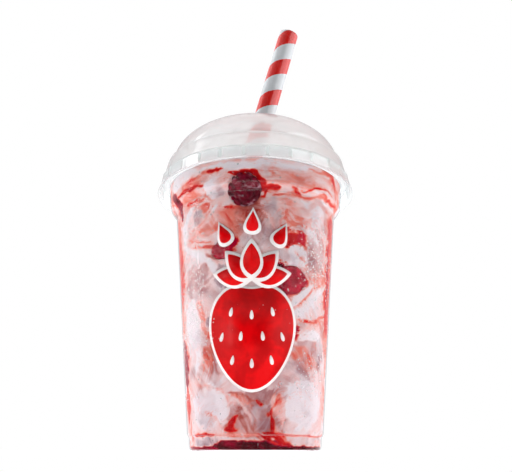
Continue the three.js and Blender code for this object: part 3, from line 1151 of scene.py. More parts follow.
    # A broad painted shade over the middle of the front, under the figure.
    Lump(0, 16, 16.5, 10.5, SHADED_MAUVE, soft=3.0),
    Lump(-5, 12, 9.5, 7.0, SHADED_ROSE, tilt=20, soft=3.0, cover=0.5),
    Lump(-38, 19.4, 10.0, 9.6, WHITE, tilt=-15, soft=1.4),
    Run(((-56, 30), (-44, 27), (-30, 24.6), (-20, 20)), 0.6, BLUSH, fade=-2.0),
    Run(((-44, 17), (-34, 14), (-28, 9)), 0.6, BLUSH, fade=-2.5),
    Lump(-13, 22.6, 6.0, 1.8, SALMON, tilt=-12, soft=1.2, cover=0.8),
    Run(((-23, 24.8), (-12, 24.2), (-4, 22.4), (2, 20.6), (8, 17.4)), 0.5, SHADED_ROSE, fade=-1.4),
    Run(((1.0, 21.0), (5, 19.2), (8.4, 17.0)), 0.55, DEEP),
    Run(((-20, 22.2), (-10, 19.8), (-3, 15.3), (-1, 8.9)), 0.8, PALE, fade=-1.0, cover=0.8),
    Lump(4.6, 14.0, 4.2, 6.0, SHADED_LILAC, tilt=12, soft=0.8),
    Lump(6.0, 12.6, 3.2, 5.2, SHADED_MAUVE, tilt=12, soft=2.0, cover=0.8),
    Run(((-2, 15.4), (-1.4, 11.6), (-1.2, 8.4)), 0.3, SHADED_ROSE, fade=1.0, cover=0.8),
    Lump(-11, 18.0, 1.2, 0.8, BROWN, soft=0.8, cover=0.8),
    Lump(-10, 14.0, 1.3, 1.0, BROWN, soft=0.8, cover=0.8),
    Run(((-14, 14.6), (-17.4, 12.8), (-18.6, 10.2), (-16.4, 8.4)), 0.75, DEEP, fade=0.8),
    Lump(-17.6, 12.2, 1.3, 1.6, DEEP, soft=0.5),
    Run(((-24.5, 8.9), (-20, 8.7), (-14, 8.8)), 0.5, DEEP, fade=0.8),
    Lump(18.0, 16.6, 3.0, 7.0, WASH, soft=2.0, cover=0.9),
    Run(((19, 24), (17.6, 20.6), (15.4, 18.6)), 0.5, RED, fade=0.8, cover=0.8),
    Lump(41, 19.0, 12.4, 10.4, WHITE, soft=1.2),
    Run(((21.5, 23), (23, 16), (23, 9)), 0.6, BLUSH, fade=-1.6),
    Lump(12, 15.8, 0.9, 1.9, DEEP, soft=0.5),
    Run(((12.6, 14.2), (13.4, 11.6), (13.2, 9.0), (13, 6.0)), 0.75, DEEP, fade=0.6),
    # The foot.
    Lump(-47, 3.6, 8.6, 1.7, SHADED_LILAC, soft=1.0),
    Lump(54, 3.6, 12.0, 1.7, PALE, soft=1.0),
    Run(((-34, 1.4), (-26, 2.6), (0, 3.1), (18, 2.6), (30, 1.2)), 1.9, MAROON, even=True),
    Lump(-22, 2.6, 5.0, 1.2, CRIMSON, soft=1.4, cover=0.5),
    Run(((-60, 6.5), (-48, 6.5), (-34, 6.4)), 0.5, DEEP, fade=0.5),
    Run(((-34, 6.7), (-22, 6.5), (-10, 6.4), (6, 6.9)), 0.4, SALMON, fade=0.8),
    Run(((-34, 5.1), (-24, 5.0), (-10, 5.1), (7, 5.1)), 0.45, PALE),
    Lump(13, 6.2, 3.6, 1.0, DEEP, soft=0.7),
    Run(((14, 6.6), (18, 5.2), (23, 3.8), (30, 1.6)), 0.9, DEEP, fade=1.0),
    Run(((22, 6.6), (46, 6.5), (78, 6.5)), 0.3, CRIMSON, even=True, cover=0.8),
    Run(((12, 3.8), (17, 2.8), (24, 1.9)), 0.5, RED),
    Run(((-88, 0.7), (-40, 0.7), (0, 0.7), (40, 0.7), (88, 0.7)), 1.1, MAROON, even=True),
    Run(((-88, 0.6), (-60, 0.6), (-32, 0.6)), 0.9, CRIMSON, even=True, cover=0.7),
    # The syrup that ran down the wall at both sides.
    Run(((-78, 110), (-78, 100), (-78, 90)), 4.0, SALMON, fade=1.5, cover=0.9, even=True),
    Run(((-77, 100), (-76, 90), (-75, 80), (-75, 68)), 5.4, RED, fade=1.8, cover=0.85),
    Run(((-76, 68), (-79, 58), (-80, 50)), 2.2, SALMON, fade=1.5, cover=0.9),
    Run(((-76, 50), (-75, 40), (-74, 29)), 4.6, MAROON, fade=1.2, cover=0.62),
    Run(((-72, 28), (-71, 22), (-71, 14)), 4.0, RED, fade=1.0, cover=0.8),
    Run(((-64, 14), (-66, 9), (-68, 4)), 0.8, SALMON, fade=-1.0),
    Run(((75, 105), (74, 94), (74, 84), (74, 70), (76, 59)), 6.2, RED, fade=-2.0, cover=0.85, even=True),
    Run(((68, 97), (69, 84), (70, 64)), 0.9, MAROON, fade=-1.6, cover=0.6),
    Run(((80, 56), (79, 44), (78, 33)), 2.2, SALMON, fade=-1.5, cover=0.8),
    Run(((67, 126), (73, 122), (79, 116)), 2.8, SALMON, fade=-1.5, cover=0.7),
)


@dataclass
class Marbling:
    """Lays marks over the drink, each over the last, as a stirred drink shows them at the wall.

    The drink's surface is unrolled: places are an azimuth in degrees and a height in millimetres, which runs
    on inwards over the top and under the bottom.
    """

    azimuth: numpy.ndarray
    height: numpy.ndarray
    radius: numpy.ndarray
    wander: numpy.ndarray
    strand: numpy.ndarray
    held: numpy.ndarray = field(init=False)

    def __post_init__(self) -> None:
        """Starts with plain cream everywhere."""
        self.held = numpy.zeros((3, len(self.azimuth)))
        self.held[0] = 0.14

    def around(
        self, azimuth: float, height: float, reach: float
    ) -> tuple[numpy.ndarray, numpy.ndarray, numpy.ndarray]:
        """Gives the points near a place, and where each lies from it, drawn aside by the stirring.

        Args:
            azimuth: The place's azimuth.
            height: The place's height.
            reach: How far round the place points are wanted.

        Returns:
            The points' numbers, their millimetres to the right of the place, and their millimetres above it.
        """
        right = numpy.radians(wrapped(self.azimuth - azimuth)) * self.radius
        above = self.height - height
        near = numpy.nonzero((numpy.abs(right) < reach) & (numpy.abs(above) < reach))[0]
        if len(near) == 0:
            return near, right[near], above[near]
        here = near[numpy.argmin(right[near] ** 2 + above[near] ** 2)]
        drawn = self.wander[:, near] - self.wander[:, here : here + 1]
        return near, right[near] + drawn[0], above[near] + drawn[1]

    def blend_in(self, tone: Tone, near: numpy.ndarray | slice, cover: numpy.ndarray) -> None:
        """Covers what is there with a tone."""
        for i, share in enumerate(tone.value):
            self.held[i, near] += (share - self.held[i, near]) * cover

    def lay_lump(self, lump: Lump) -> None:
        """Lays a lump, then its rim and the shadow under it.

        Args:
            lump: The lump.
        """
        reach = max(lump.half_width, lump.half_height) + 6 * lump.soft + 6
        near, across, up = self.around(lump.azimuth, lump.height, reach)
        turn = math.radians(lump.tilt)
        along = across * math.cos(turn) + up * math.sin(turn)
        over = up * math.cos(turn) - across * math.sin(turn)
        side = numpy.arctan2(over, along)
        share = numpy.hypot(along / lump.half_width, over / lump.half_height)
        depth = (1 - share) * min(lump.half_width, lump.half_height)
        soft = 0.8 + lump.soft * (1 - numpy.cos(side - math.radians(lump.crisp_side - lump.tilt)))
        depth = depth + self.strand[near] * (0.3 + 0.5 * soft)
        self.blend_in(lump.tone, near, lump.cover * ease(-0.5, 0.5, depth / soft))
        # Painted shade, darker towards the lower edge of a pale lump.
        if lump.tone in (WHITE, SHADED_LILAC, PALE):
            low = ease(-0.2, 1.0, -over / lump.half_height) * ease(0, 1.5, depth)
            self.held[2, near] += 0.3 * low * lump.cover
        if lump.rim:
            facing = ease(0.0, 0.8, numpy.cos(side - math.radians(lump.rim_side - lump.tilt)))
            band = numpy.exp(-((depth / 0.55) ** 2)) + 0.6 * numpy.exp(-numpy.abs(depth) / 1.4) * (depth > 0)
            self.blend_in(lump.rim, near, numpy.clip(band * facing, 0, 1))

    def lay_run(self, run: Run) -> None:
        """Lays a run along its places, thin at its ends.

        Args:
            run: The run.
        """
        start, low = run.places[0]
        scale = math.radians(1.0) * float(self.radius[numpy.argmin(numpy.abs(self.height - low))])
        spots = [Vector(((azimuth - start) * scale, height - low)) for azimuth, height in run.places]
        reach = max(spot.length for spot in spots) + run.half_width + 5 * abs(run.fade) + 8
        near, across, up = self.around(start, low, reach)
        nearest = numpy.full(len(across), 1e9)
        side = numpy.zeros(len(across))
        place = numpy.zeros(len(across))
        done = 0.0
        for begin, end in zip(spots, spots[1:]):
            length = (end - begin).length
            way = (end - begin) / length
            gone = (across - begin.x) * way.x + (up - begin.y) * way.y
            left = (up - begin.y) * way.x - (across - begin.x) * way.y
            gap = numpy.hypot(gone - numpy.clip(gone, 0, length), left)
            closer = gap < nearest
            nearest = numpy.where(closer, gap, nearest)
            side = numpy.where(closer, left, side)
            place = numpy.where(closer, done + numpy.clip(gone, 0, length), place)
            done += length
        full = 1.0 if run.even else 0.3 + 0.7 * numpy.sin(numpy.pi * numpy.clip(place / done, 0, 1)) ** 0.6
        ragged = 1 + 0.25 * numpy.sin(place * 0.9 + start) * numpy.sin(place * 0.37 + 2 * start)
        gap = nearest - run.half_width * full * ragged
        core = 1 - ease(-0.35, 0.45, gap)
        if run.fade:
            tail = numpy.exp(-numpy.maximum(gap, 0) / abs(run.fade)) * full
            tail *= numpy.clip(1 + 1.2 * self.strand[near], 0.3, 1.3)
            core = numpy.where(side * run.fade > 0, numpy.maximum(core, 0.75 * tail), core)
        self.blend_in(run.tone, near, run.cover * core)

    def calm(self, half_angle: float, low: float, high: float, tone: Tone) -> None:
        """Smooths the front over with one tone of milk, so that the marks laid there stand out.

        Args:
            half_angle: Degrees off the front where it covers by half.
            low: The lowest height that it covers in full.
            high: The highest height that it covers in full.
            tone: The milk's tone.
        """
        cover = 1 - ease(half_angle - 12, half_angle + 12, numpy.abs(wrapped(self.azimuth)))
        cover *= ease(low - 4, low, self.height) * (1 - ease(high, high + 4, self.height))
        self.blend_in(tone, slice(None), 0.92 * cover)

    def shade(self, start: float, full: float, amount: float) -> None:
        """Lays a thin shadow in the milk at the back, rising from one angle off the front to another."""
        behind = ease(start, full, numpy.abs(wrapped(self.azimuth)))
        self.held[2] += amount * behind * (1 - self.held[2])

    def lay(self, marks: Iterable[Mark]) -> None:
        """Lays marks in order.

        Args:
            marks: The marks.
        """
        for mark in marks:
            if isinstance(mark, Lump):
                self.lay_lump(mark)
            else:
                self.lay_run(mark)


def stirred_marks(seed: int, low: float, high: float, step: float = 10.0) -> list[Mark]:
    """Draws marks all round the drink, of the kinds that the front shows.

    Args:
        seed: What the draw starts from.
        low: The lowest height.
        high: The highest height.
        step: How far apart in height the rows of lumps are.

    Returns:
        The marks, the broad ones first.
    """
    draw = random.Random(seed)
    tones = [WHITE] * 7 + [SHADED_LILAC] * 2 + [BLUSH] * 5 + [SALMON] * 5 + [SHADED_MAUVE] * 2 + [CRIMSON, RED]
    marks: list[Mark] = []
    for row in range(int((high - low) / step) + 1):
        for column in range(24):
            tone = draw.choice(tones)
            lump = Lump(
                azimuth=column * 15 + draw.uniform(-7, 7),
                height=low + row * step + draw.uniform(-4, 4),
                half_width=draw.uniform(4.5, 9.5),
                half_height=draw.uniform(3.5, 7.5),
                tone=tone,
                tilt=draw.uniform(-35, 35),
                soft=draw.choice((1.0, 1.6, 2.6, 3.6)),
                cover=draw.uniform(0.75, 1.0),
                rim=draw.choice((RED, SALMON, None)) if tone in (WHITE, SHADED_LILAC, BLUSH) else None,
                rim_side=draw.uniform(0, 360),
            )
            marks.append(lump)
    draw.shuffle(marks)
    for _ in range(90):
        azimuth, height = draw.uniform(0, 360), draw.uniform(low, high)
        slope, bend = draw.uniform(-0.35, 0.35), draw.uniform(-0.02, 0.02)
        reach = draw.uniform(12, 44)
        along = (0, 0.35, 0.7, 1)
        places = tuple((azimuth + t * reach, height + t * reach * (slope + bend * t * reach)) for t in along)
        tone = draw.choice((RED, DEEP, RED, SALMON, WHITE, CRIMSON))
        half_width, fade, cover = draw.uniform(0.4, 1.2), draw.uniform(-3.5, 3.5), draw.uniform(0.6, 0.95)
        marks.append(Run(places, half_width, tone, fade, cover))
    return marks


def back_run(azimuth: int, low: int, high: int, half_width: float, tone: Tone, fade: float) -> Run:
    """Gives a run of syrup that wavers down the wall.

    Args:
        azimuth: Degrees off the front that it wavers about.
        low: Its lowest height.
        high: Where it stops at the top.
        half_width: Half its width.
        tone: Its tone.
        fade: How far it fades out, to its left (+) or its right (-).

    Returns:
        The run.
    """
    places = []
    for height in range(low, high, 6):
        aside = azimuth + 7 * math.sin(0.05 * height + azimuth) + 3 * math.sin(0.17 * height + 2 * azimuth)
        places.append((aside, height))
    return Run(tuple(places), half_width, tone, fade)


BACK_RUNS: tuple[Mark, ...] = (
    back_run(103, 66, 121, 0.9, DEEP, 1.5),
    back_run(151, 12, 60, 1.3, RED, -1.8),
    back_run(188, 84, 124, 0.8, DEEP, 2.0),
    back_run(229, 24, 78, 1.2, CRIMSON, -2.0),
    back_run(262, 70, 122, 0.9, RED, 1.8),
)


@dataclass
class Shake:
    """The drink, up to its level, with a low spiral swirl on top."""

    cup: ClearCup
    fruit: Sequence[Fruit] = FRUIT
    finish: MarbledShake = MarbledShake()
    level: float = 131.1
    cling: float = 1.1
    crown: float = 2.4
    swirl_depth: float = 1.3
    swirl_pitch: float = 21.0
    into_wall: float = 0.15
    row: float = 0.72
    gather: float = 0.3
    top_rings: int = 22
    bottom_rings: int = 12
    segments: int = 384
    give: float = 1.6

    def swirl(self, x: float, y: float, edge: float) -> float:
        """Gives how far the top stands over the level.

        Args:
            x: Place across, in millimetres.
            y: Place along, in millimetres.
            edge: The top's radius.

        Returns:
            Millimetres above the level.
        """
        share = min(math.hypot(x, y) / edge, 1.0)
        turn = math.atan2(y, x) - math.tau * share * edge / self.swirl_pitch
        fade = max(math.sin(math.pi * min(share * 1.15, 1.0)), 0.0) ** 0.8
        ripple = noise.noise(Vector((x, y, 0.0)) * 0.16) * 0.5 * fade
        return self.crown * (1 - share**2) + self.swirl_depth * fade * math.cos(turn) + ripple

    def side(self) -> Profile:
        """Gives the side, from the middle of the bottom to where the drink clings to the wall over its level.

        Returns:
            Points of radius and height, close enough together to carry the marbling.
        """
        wall = self.cup.inside(self.into_wall)
        bottom = next(i for i, point in enumerate(wall) if point[0] > self.cup.punt_radius - 2)
        top = self.level + self.cling
        inside = [*(point for point in wall[bottom:] if point[1] < top), (height_on(wall, top), top)]
        radius, height = inside[0]
        fine: Profile = [(radius * i / self.bottom_rings, height) for i in range(self.bottom_rings)]
        for (r0, z0), (r1, z1) in zip(inside, inside[1:]):
            steps = max(1, round(math.hypot(r1 - r0, z1 - z0) / self.row))
            fine += [(r0 + (r1 - r0) * i / steps, z0 + (z1 - z0) * i / steps) for i in range(steps)]
        return [*fine, inside[-1]]

    def build(self) -> list[bpy.types.Object]:
        """Makes the drink.

        Returns:
            Its one piece.
        """
        side = self.side()
        edge = side[-1][0]
        top = [(edge * (1 - (i + 1) / self.top_rings), self.level) for i in range(self.top_rings)]
        mesh = turned([*side, *top], self.segments, False)
        for vert in mesh.verts:
            azimuth = math.atan2(vert.co.x, -vert.co.y)
            vert.co = Matrix.Rotation(-self.gather * math.sin(azimuth), 3, "Z") @ vert.co
            x, y, z = vert.co / MM
            if z > self.level - 0.01 and math.hypot(x, y) < edge - 0.01:
                vert.co.z += self.swirl(x, y, edge) * MM
        data = stored("marbled_shake", mesh)
        flat = numpy.empty(3 * len(data.vertices))
        data.vertices.foreach_get("co", flat)
        points = flat.reshape(-1, 3) / MM
        radius = numpy.hypot(points[:, 0], points[:, 1])
        azimuth = numpy.degrees(numpy.arctan2(points[:, 0], -points[:, 1]))
        marbling = self.marbling(points, radius, azimuth, edge)
        for name, values in zip(("syrup", "fruit", "painted_shade"), marbling.held):
            attribute = data.attributes.new(name, "FLOAT", "POINT")
            attribute.data.foreach_set("value", values.astype(numpy.float32))
        self.make_way(points, radius, azimuth)
        data.vertices.foreach_set("co", (points * MM).ravel())
        data.update()
        return [placed(data, self.finish.material(), slot="milkshake", node="shake")]

    def marbling(
        self, points: numpy.ndarray, radius: numpy.ndarray, azimuth: numpy.ndarray, edge: float
    ) -> Marbling:
        """Lays the marbling.

        Args:
            points: The drink's points, in millimetres.
            radius: How far each is from the axis.
            azimuth: How many degrees each is off the front.
            edge: The top's radius.

        Returns:
            The marbling, with what each point holds.
        """
        foot = self.cup.foot_ring[1]
        low = (points[:, 2] < self.cup.foot_height) & (radius < foot)
        height = numpy.where(points[:, 2] > self.level - 0.01, self.level + edge - radius, points[:, 2])
        height = numpy.where(low, radius - foot, height)
        drawn = numpy.array([self.drawn(Vector(point)) for point in points]).T
        marbling = Marbling(azimuth, height, radius, drawn[:2], drawn[2])
        marbling.lay(stirred_marks(7, -30.0, 176.0))
        marbling.lay(BACK_RUNS)
        # The front's base tone of milk carries a little painted shade.
        marbling.calm(68.0, 0.0, 134.0, PALE)
        marbling.calm(68.0, 107.0, 134.0, BLUSH)
        marbling.lay(FRONT_MARKS)
        # Painted shade over the back of the drink.
        marbling.shade(92.0, 135.0, 0.46)
        return marbling

    @staticmethod
    def drawn(point: Vector) -> tuple[float, float, float]:
        """Gives how far a mark is drawn aside at a point, and the strand that runs through it.

        Args:
            point: The point, in millimetres.

        Returns:
            Millimetres to the right and up, and a number round 0.
        """
        broad = swayed(point * 0.075)
        middle = swayed(point * 0.2 + broad)
        fine = swayed(point * 0.6)
        free = 0.3 + 0.7 * ease(5, 16, point.z)
        right = (1.9 * broad.x + 1.3 * middle.x + 0.45 * fine.x) * free
        up = (1.7 * broad.y + 1.1 * middle.y + 0.4 * fine.y) * free
        twist = 0.022 * point.z + 1.2 * broad.z
        across = point.x * math.cos(twist) - point.y * math.sin(twist)
        along = point.x * math.sin(twist) + point.y * math.cos(twist)
        slanted = noise.noise(Vector((across * 0.3, along * 0.3, point.z * 0.06)))
        level = noise.noise(Vector((point.x * 0.06, point.y * 0.06, point.z * 0.42)) + middle)
        return (right, up, 1.6 * (slanted + (level - slanted) * ease(104, 114, point.z)))

    def make_way(self, points: numpy.ndarray, radius: numpy.ndarray, azimuth: numpy.ndarray) -> None:
        """Presses the drink's points in where fruit lies against the wall.

        Args:
            points: The points, in millimetres.
            radius: How far each was from the axis.
            azimuth: How many degrees each is off the front.
        """
        for item in self.fruit:
            aside = numpy.radians(wrapped(azimuth - item.azimuth)) * radius
            share = numpy.hypot(aside / item.size[0], (points[:, 2] - item.height) / item.size[2])
            press = self.give * (1 - ease(0.86, 0.98, share)) * (radius > self.cup.foot_radius)
            points[:, :2] *= (1 - press / numpy.maximum(radius, 1.0))[:, None]


SKINS = {
    FruitKind.BERRY: FruitSkin("berry_skin", colour(88, 0, 22), colour(130, 2, 36), colour(206, 160, 172), 0.7),
    FruitKind.SLICE: FruitSkin(
        "fruit_flesh", colour(140, 2, 30), colour(206, 14, 52), colour(214, 96, 118), 0.12
    ),
}


@dataclass
class FruitPieces:
    """The fruit that shows through the wall, pressed flat against it."""

    cup: ClearCup
    fruit: Sequence[Fruit] = FRUIT
    into_wall: float = 0.35
    groove: float = 1.3

    def build(self) -> list[bpy.types.Object]:
        """Makes each piece of fruit in its kind's skin.

        Returns:
            The pieces.
        """
        skins = {kind: skin.material() for kind, skin in SKINS.items()}
        pieces = []
        for number, item in enumerate(self.fruit, 1):
            data = stored(f"{item.kind.value}_{number}", self.shaped(item))
            pieces.append(placed(data, skins[item.kind], slot="milkshake"))
        return pieces

    @staticmethod
    def seeds(count: int) -> kdtree.KDTree:
        """Spreads the lumps of a berry evenly over a ball.

        Args:
            count: How many there are.

        Returns:
            Their middles, to be searched.
        """
        seeds = kdtree.KDTree(count)
        for i in range(count):
            height = 1 - (2 * i + 1) / count
            ring = math.sqrt(1 - height * height)
            turn = math.pi * (3 - math.sqrt(5)) * i
            seeds.insert((ring * math.cos(turn), ring * math.sin(turn), height), i)
        seeds.balance()
        return seeds

    def shaped(self, item: Fruit) -> bmesh.types.BMesh:
        """Shapes one piece of fruit.

        Args:
            item: Where it is, how large and of which kind.

        Returns:
            A closed mesh in metres.
        """
        mesh = bmesh.new()
        bmesh.ops.create_icosphere(mesh, subdivisions=5, radius=1.0)
        seeds = self.seeds(item.lumps)
        spacing = math.sqrt(4 * math.pi / item.lumps) * 0.6
        turn = Matrix.Rotation(math.radians(item.azimuth), 3, "Z")
        centre = self.cup.on_wall(item.azimuth, item.height, -item.depth) / MM
        limit = self.cup.inside(self.into_wall)
        for vert in mesh.verts:
            way = vert.co.normalized()
            local = Vector([part * half for part, half in zip(way, item.size)])
            if item.kind is FruitKind.BERRY:
                gap = min(seeds.find(way)[2] / spacing, 1.0)
                inward = self.groove * (1 - math.sqrt(1 - gap**2))
                local *= 1 - 0.5 * inward / local.length
            else:
                inward = 0.35 + 0.5 * noise.noise(Vector((item.azimuth, 0, 0)) + way * 2.2)
                local *= 1 + 0.16 * noise.noise(Vector((item.height, 0, 0)) + way * 1.6)
            point = centre + turn @ local
            point.xy *= min(1.0, height_on(limit, point.z) / point.xy.length)
            point.xy *= 1 - max(inward, 0.0) / point.xy.length
            vert.co = point * MM
        bmesh.ops.recalc_face_normals(mesh, faces=mesh.faces[:])
        return mesh


class Motif(Enum):
    """The shapes of the printed figure: how many outlines narrower and lower each is in red than in white."""

    BERRY = (1.0, 0.82)
    LEAF = (1.05, 1.8)
    DROP = (1.45, 1.35)
    SEED = (0.0, 0.0)

    def edge(self, angle: float) -> tuple[float, float]:
        """Gives the point of the outline at an angle from its top.

        Args:
            angle: Radians round the shape.

        Returns:
            Place to the right and up, where the shape is about 2 across.
        """
        right, up = math.sin(angle), math.cos(angle)
        if self is Motif.BERRY:
            return (right * (1 + 0.24 * up), 1.22 * up - 0.16 * math.exp(-((right / 0.3) ** 2)) * (up > 0))
        if self is Motif.LEAF:
            return (right * abs(right) ** 0.6 * (1 - 0.28 * up), up)
        pointed = 0.82 if self is Motif.DROP else 0.35
        return (0.62 * right * (1 - pointed * up), up)


@dataclass(frozen=True)
class Printed:
    """One motif of the printed figure: its middle, its half size, its turn, its layer and its ink."""

    motif: Motif
    right: float
    up: float
    half_width: float
    half_height: float
    turn: float = 0.0
    layer: int = 0
    ink: int = 0


@dataclass
class PrintedFigure:
    """A plain strawberry with leaves and drops of milk, printed in red with a white outline on the cup."""

    cup: ClearCup
    white: ScreenInk = ScreenInk("white_ink", colour(255, 252, 252), colour(252, 242, 242))
    red: ScreenInk = ScreenInk("red_ink", colour(238, 2, 10), colour(204, 0, 6))
    azimuth: float = -2.5
    outline: float = 1.25
    film: float = 0.03
    strip: float = 1.4

    def motifs(self) -> Iterable[Printed]:
        """Lists the motifs, the lowest layer first.

        Yields:
            Each motif.
        """
        yield from self.inked(Printed(Motif.BERRY, 0.0, 49.5, 20.5, 20.5))
        for turn in (-78, 78, -40, 40, 0):
            angle = math.radians(turn)
            reach = 8.5 if turn else 9.5
            right, up = reach * math.sin(angle) * 1.15, 74.5 + reach * math.cos(angle)
            layer = 1 + (abs(turn) < 60) + (turn == 0)
            yield from self.inked(Printed(Motif.LEAF, right, up, 5.2, 9.6, turn, layer))
        for right, up, turn in ((-13.5, 97.0, -24), (0.5, 102.0, 3), (14.0, 96.0, 27)):
            yield from self.inked(Printed(Motif.DROP, right, up, 5.6, 6.6, turn, 1))
        for up, row in ((60.0, (-9.5, 0.0, 9.5)), (49.0, (-14.0, -4.9, 4.9, 14.0)), (38.5, (-8.8, 0.0, 8.8))):
            for right in row:
                yield Printed(Motif.SEED, right, up - 1.5 * (right == 0), 1.35, 2.1, -1.2 * right, 2)

    def inked(self, item: Printed) -> Iterable[Printed]:
        """Prints a motif in white, and a smaller one of its shape in red over it.

        Args:
            item: The motif, with its layer counted in motifs.

        Yields:
            Both shapes, with their layers counted in inks.
        """
        halves = (item.half_width, item.half_height)
        width, height = (half - margin * self.outline for half, margin in zip(halves, item.motif.value))
        yield replace(item, layer=2 * item.layer)
        yield replace(item, half_width=width, half_height=height, layer=2 * item.layer + 1, ink=1)

    def build(self) -> list[bpy.types.Object]:
        """Makes the print as one thin film.

        Returns:
            Its one piece.
        """
        figure = bmesh.new()
        for item in self.motifs():
            data = stored("motif", self.shaped(item))
            figure.from_mesh(data)
            bpy.data.meshes.remove(data)
        return [placed(stored("printed_figure", figure), self.white.material(), self.red.material())]

    def shaped(self, item: Printed) -> bmesh.types.BMesh:
        """Cuts one motif from film and wraps it round the cup.

        Args:
            item: The motif.

        Returns:
            A thin closed mesh, in metres and in place.
        """
        mesh = bmesh.new()
        bmesh.ops.create_circle(mesh, cap_ends=True, segments=96, radius=1.0)
        for vert in mesh.verts:
            right, up = item.motif.edge(math.atan2(vert.co.x, vert.co.y))
            vert.co = (right * item.half_width, up * item.half_height, 0)
        for face in mesh.faces:
            face.material_index = item.ink
        turn = Matrix.Translation((item.right, item.up, 0)) @ Matrix.Rotation(-math.radians(item.turn), 4, "Z")
        bmesh.ops.transform(mesh, matrix=turn, verts=mesh.verts[:])
        sliced(mesh, Vector((1, 0, 0)), (i * self.strip + 0.01 for i in range(-24, 25)))
        bmesh.ops.recalc_face_normals(mesh, faces=mesh.faces[:])
        bmesh.ops.solidify(mesh, geom=mesh.faces[:], thickness=self.film)
        outside = self.cup.outside()
        for vert in mesh.verts:
            right, up, out = vert.co
            radius = height_on(outside, up)
            lift = 0.02 + out + (self.film + 0.015) * item.layer + self.film
            vert.co = standing(radius + lift, math.radians(self.azimuth) + right / radius, up)
        bmesh.ops.recalc_face_normals(mesh, faces=mesh.faces[:])
        return mesh


@dataclass
class Dew:
    """Fine dew that has settled on the outside of the cup in patches."""

    cup: ClearCup
    finish: DewDrop = DewDrop()
    count: int = 3600
    low: float = 22.0
    high: float = 117.0
    sizes: tuple[float, float] = (0.16, 0.42)
    seed: int = 11

    def drops(self) -> Iterable[Matrix]:
        """Scatters the drops.

        Yields:
            Where each drop stands, how it is turned and how large it is.
        """
        draw = random.Random(self.seed)
        made = 0
        while made < self.count:
            azimuth = draw.uniform(-180, 180)
            height = draw.uniform(self.low, self.high)
            size = self.sizes[0] + (self.sizes[1] - self.sizes[0]) * draw.random() ** 2
            wetness = noise.noise(self.cup.on_wall(azimuth, height) / MM * 0.045)
            sideways = ease(24, 52, abs(azimuth))
            if draw.random() > ease(-0.25, 0.45, wetness) * (0.02 + 0.98 * sideways):
                continue
            made += 1
            turn = Euler((math.radians(90), 0, math.radians(azimuth))).to_matrix().to_4x4()
            shape = Matrix.Diagonal((size * MM, size * MM, 0.5 * size * MM, 1))
            yield Matrix.Translation(self.cup.on_wall(azimuth, height, 0.02)) @ turn @ shape

    def build(self) -> list[bpy.types.Object]:
        """Makes all the drops as one joined mesh.

        Returns:
            The one piece.
        """
        drop = bmesh.new()
        bmesh.ops.create_uvsphere(drop, u_segments=7, v_segments=4, radius=1.0)
        shape = [vert.co.copy() for vert in drop.verts]
        faces = [[vert.index for vert in face.verts] for face in drop.faces]
        drop.free()
        points: list[Vector] = []
        corners: list[list[int]] = []
        for matrix in self.drops():
            corners += [[len(points) + index for index in face] for face in faces]
            points += [matrix @ point for point in shape]
        data = bpy.data.meshes.new("dew_drops")
        data.from_pydata(points, [], corners)
        return [placed(data, self.finish.material())]


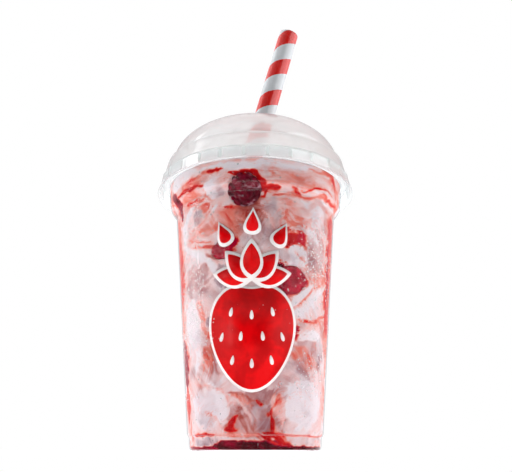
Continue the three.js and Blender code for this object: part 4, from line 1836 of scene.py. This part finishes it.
@dataclass
class Studio:
    """The camera, the pale floor and the soft light from both sides."""

    camera_place: tuple[float, float, float] = (0.35, -330.0, 0.5)
    camera_pitch: float = 18.0
    lens: float = 46.27
    sensor: float = 36.0
    front: float = 0.07
    sides: float = 1.68
    top: float = 2.15
    back: float = 1.75
    back_seen: float = 0.65
    left_slit: float = 9.0
    left_box: float = 5.5
    right_box: float = 3.6
    floor_glow: float = 0.5
    floor_radius: float = 0.26

    def camera(self) -> None:
        """Sets up the camera at the photograph's place."""
        data = bpy.data.cameras.new("camera")
        data.lens = self.lens
        data.sensor_width = self.sensor
        data.clip_start = 0.01
        camera = added(data)
        camera.location = Vector(self.camera_place) * MM
        camera.rotation_euler = (math.radians(90 + self.camera_pitch), 0, 0)
        bpy.context.scene.camera = camera

    def floor(self) -> None:
        """Lays a plain pale floor."""
        mesh = bmesh.new()
        bmesh.ops.create_circle(mesh, cap_ends=True, segments=96, radius=self.floor_radius)
        net = Wiring(bpy.data.materials.new("pale_floor"))
        grain = net.noise(net.place(), 40.0)
        surface = net.shader(
            Base_Color=net.ramp(grain, (0.0, (0.92, 0.92, 0.92, 1)), (1.0, (0.95, 0.95, 0.95, 1))),
            Roughness=0.9,
            Specular_IOR_Level=0.0,
            Emission_Color=PURE_WHITE,
            Emission_Strength=self.floor_glow,
        )
        data = stored("floor", mesh)
        data.materials.append(net.done(surface))
        floor = added(data)

    def world(self) -> None:
        """Surrounds the object with soft light, brightest at both sides, on a white ground."""
        world = bpy.data.worlds.new("soft_light")
        bpy.context.scene.world = world
        net = Wiring(world)
        way = net.split(net.node("ShaderNodeTexCoord").outputs["Generated"])
        sideways = net.spread(net.math("ABSOLUTE", net.plus(way["X"], -0.01)), 0.72, 0.82, 0.0, self.sides)
        above = net.spread(way["Z"], 0.55, 0.98, 0.0, self.top)
        behind = net.spread(way["Y"], 0.1, 0.6, 0.0, self.back)
        light = net.plus(net.plus(sideways, above), net.plus(behind, self.front))
        turned_away = net.times(way["Y"], -0.3)
        left = net.spread(net.math("SUBTRACT", turned_away, way["X"]), 0.84, 0.88, 0.0, self.left_box)
        right = net.spread(net.plus(turned_away, way["X"]), 0.72, 0.78, 0.0, self.right_box)
        beside = net.math("ABSOLUTE", net.plus(way["Y"], -0.03))
        slit = net.times(net.spread(way["X"], -0.6, -0.8), self.left_slit)
        slit = net.times(slit, net.spread(beside, 0.1, 0.04))
        boxes = net.times(net.plus(net.plus(left, right), slit), net.spread(way["Z"], -0.02, 0.05))
        mirrored = net.plus(net.plus(boxes, above), net.plus(net.times(behind, self.back_seen), 0.03))
        glows = (net.out("ShaderNodeBackground", {"Strength": strength}) for strength in (light, mirrored))
        ray = net.node("ShaderNodeLightPath").outputs
        soft = net.mixed(ray["Is Glossy Ray"], *glows)
        plain = net.out("ShaderNodeBackground", {"Color": PURE_WHITE})
        net.done(net.mixed(ray["Is Camera Ray"], soft, plain), "World")

    def build(self) -> None:
        """Sets the whole studio."""
        self.camera()
        self.floor()
        self.world()
        bpy.context.scene.view_settings.view_transform = "Standard"
        bpy.context.scene.cycles.transparent_max_bounces = 40


def main() -> None:
    """Builds the studio and every piece, and reports each piece."""
    Studio().build()
    cup = ClearCup()
    makers = (cup, DomedLid(cup), PaperStraw(), Shake(cup), FruitPieces(cup), PrintedFigure(cup), Dew(cup))
    for maker in makers:
        for piece in maker.build():
            log.info("%s: %d faces", piece.name, len(piece.data.polygons))


if __name__ == "__main__":
    logging.basicConfig(level=logging.INFO, format="%(name)s: %(message)s")
    main()
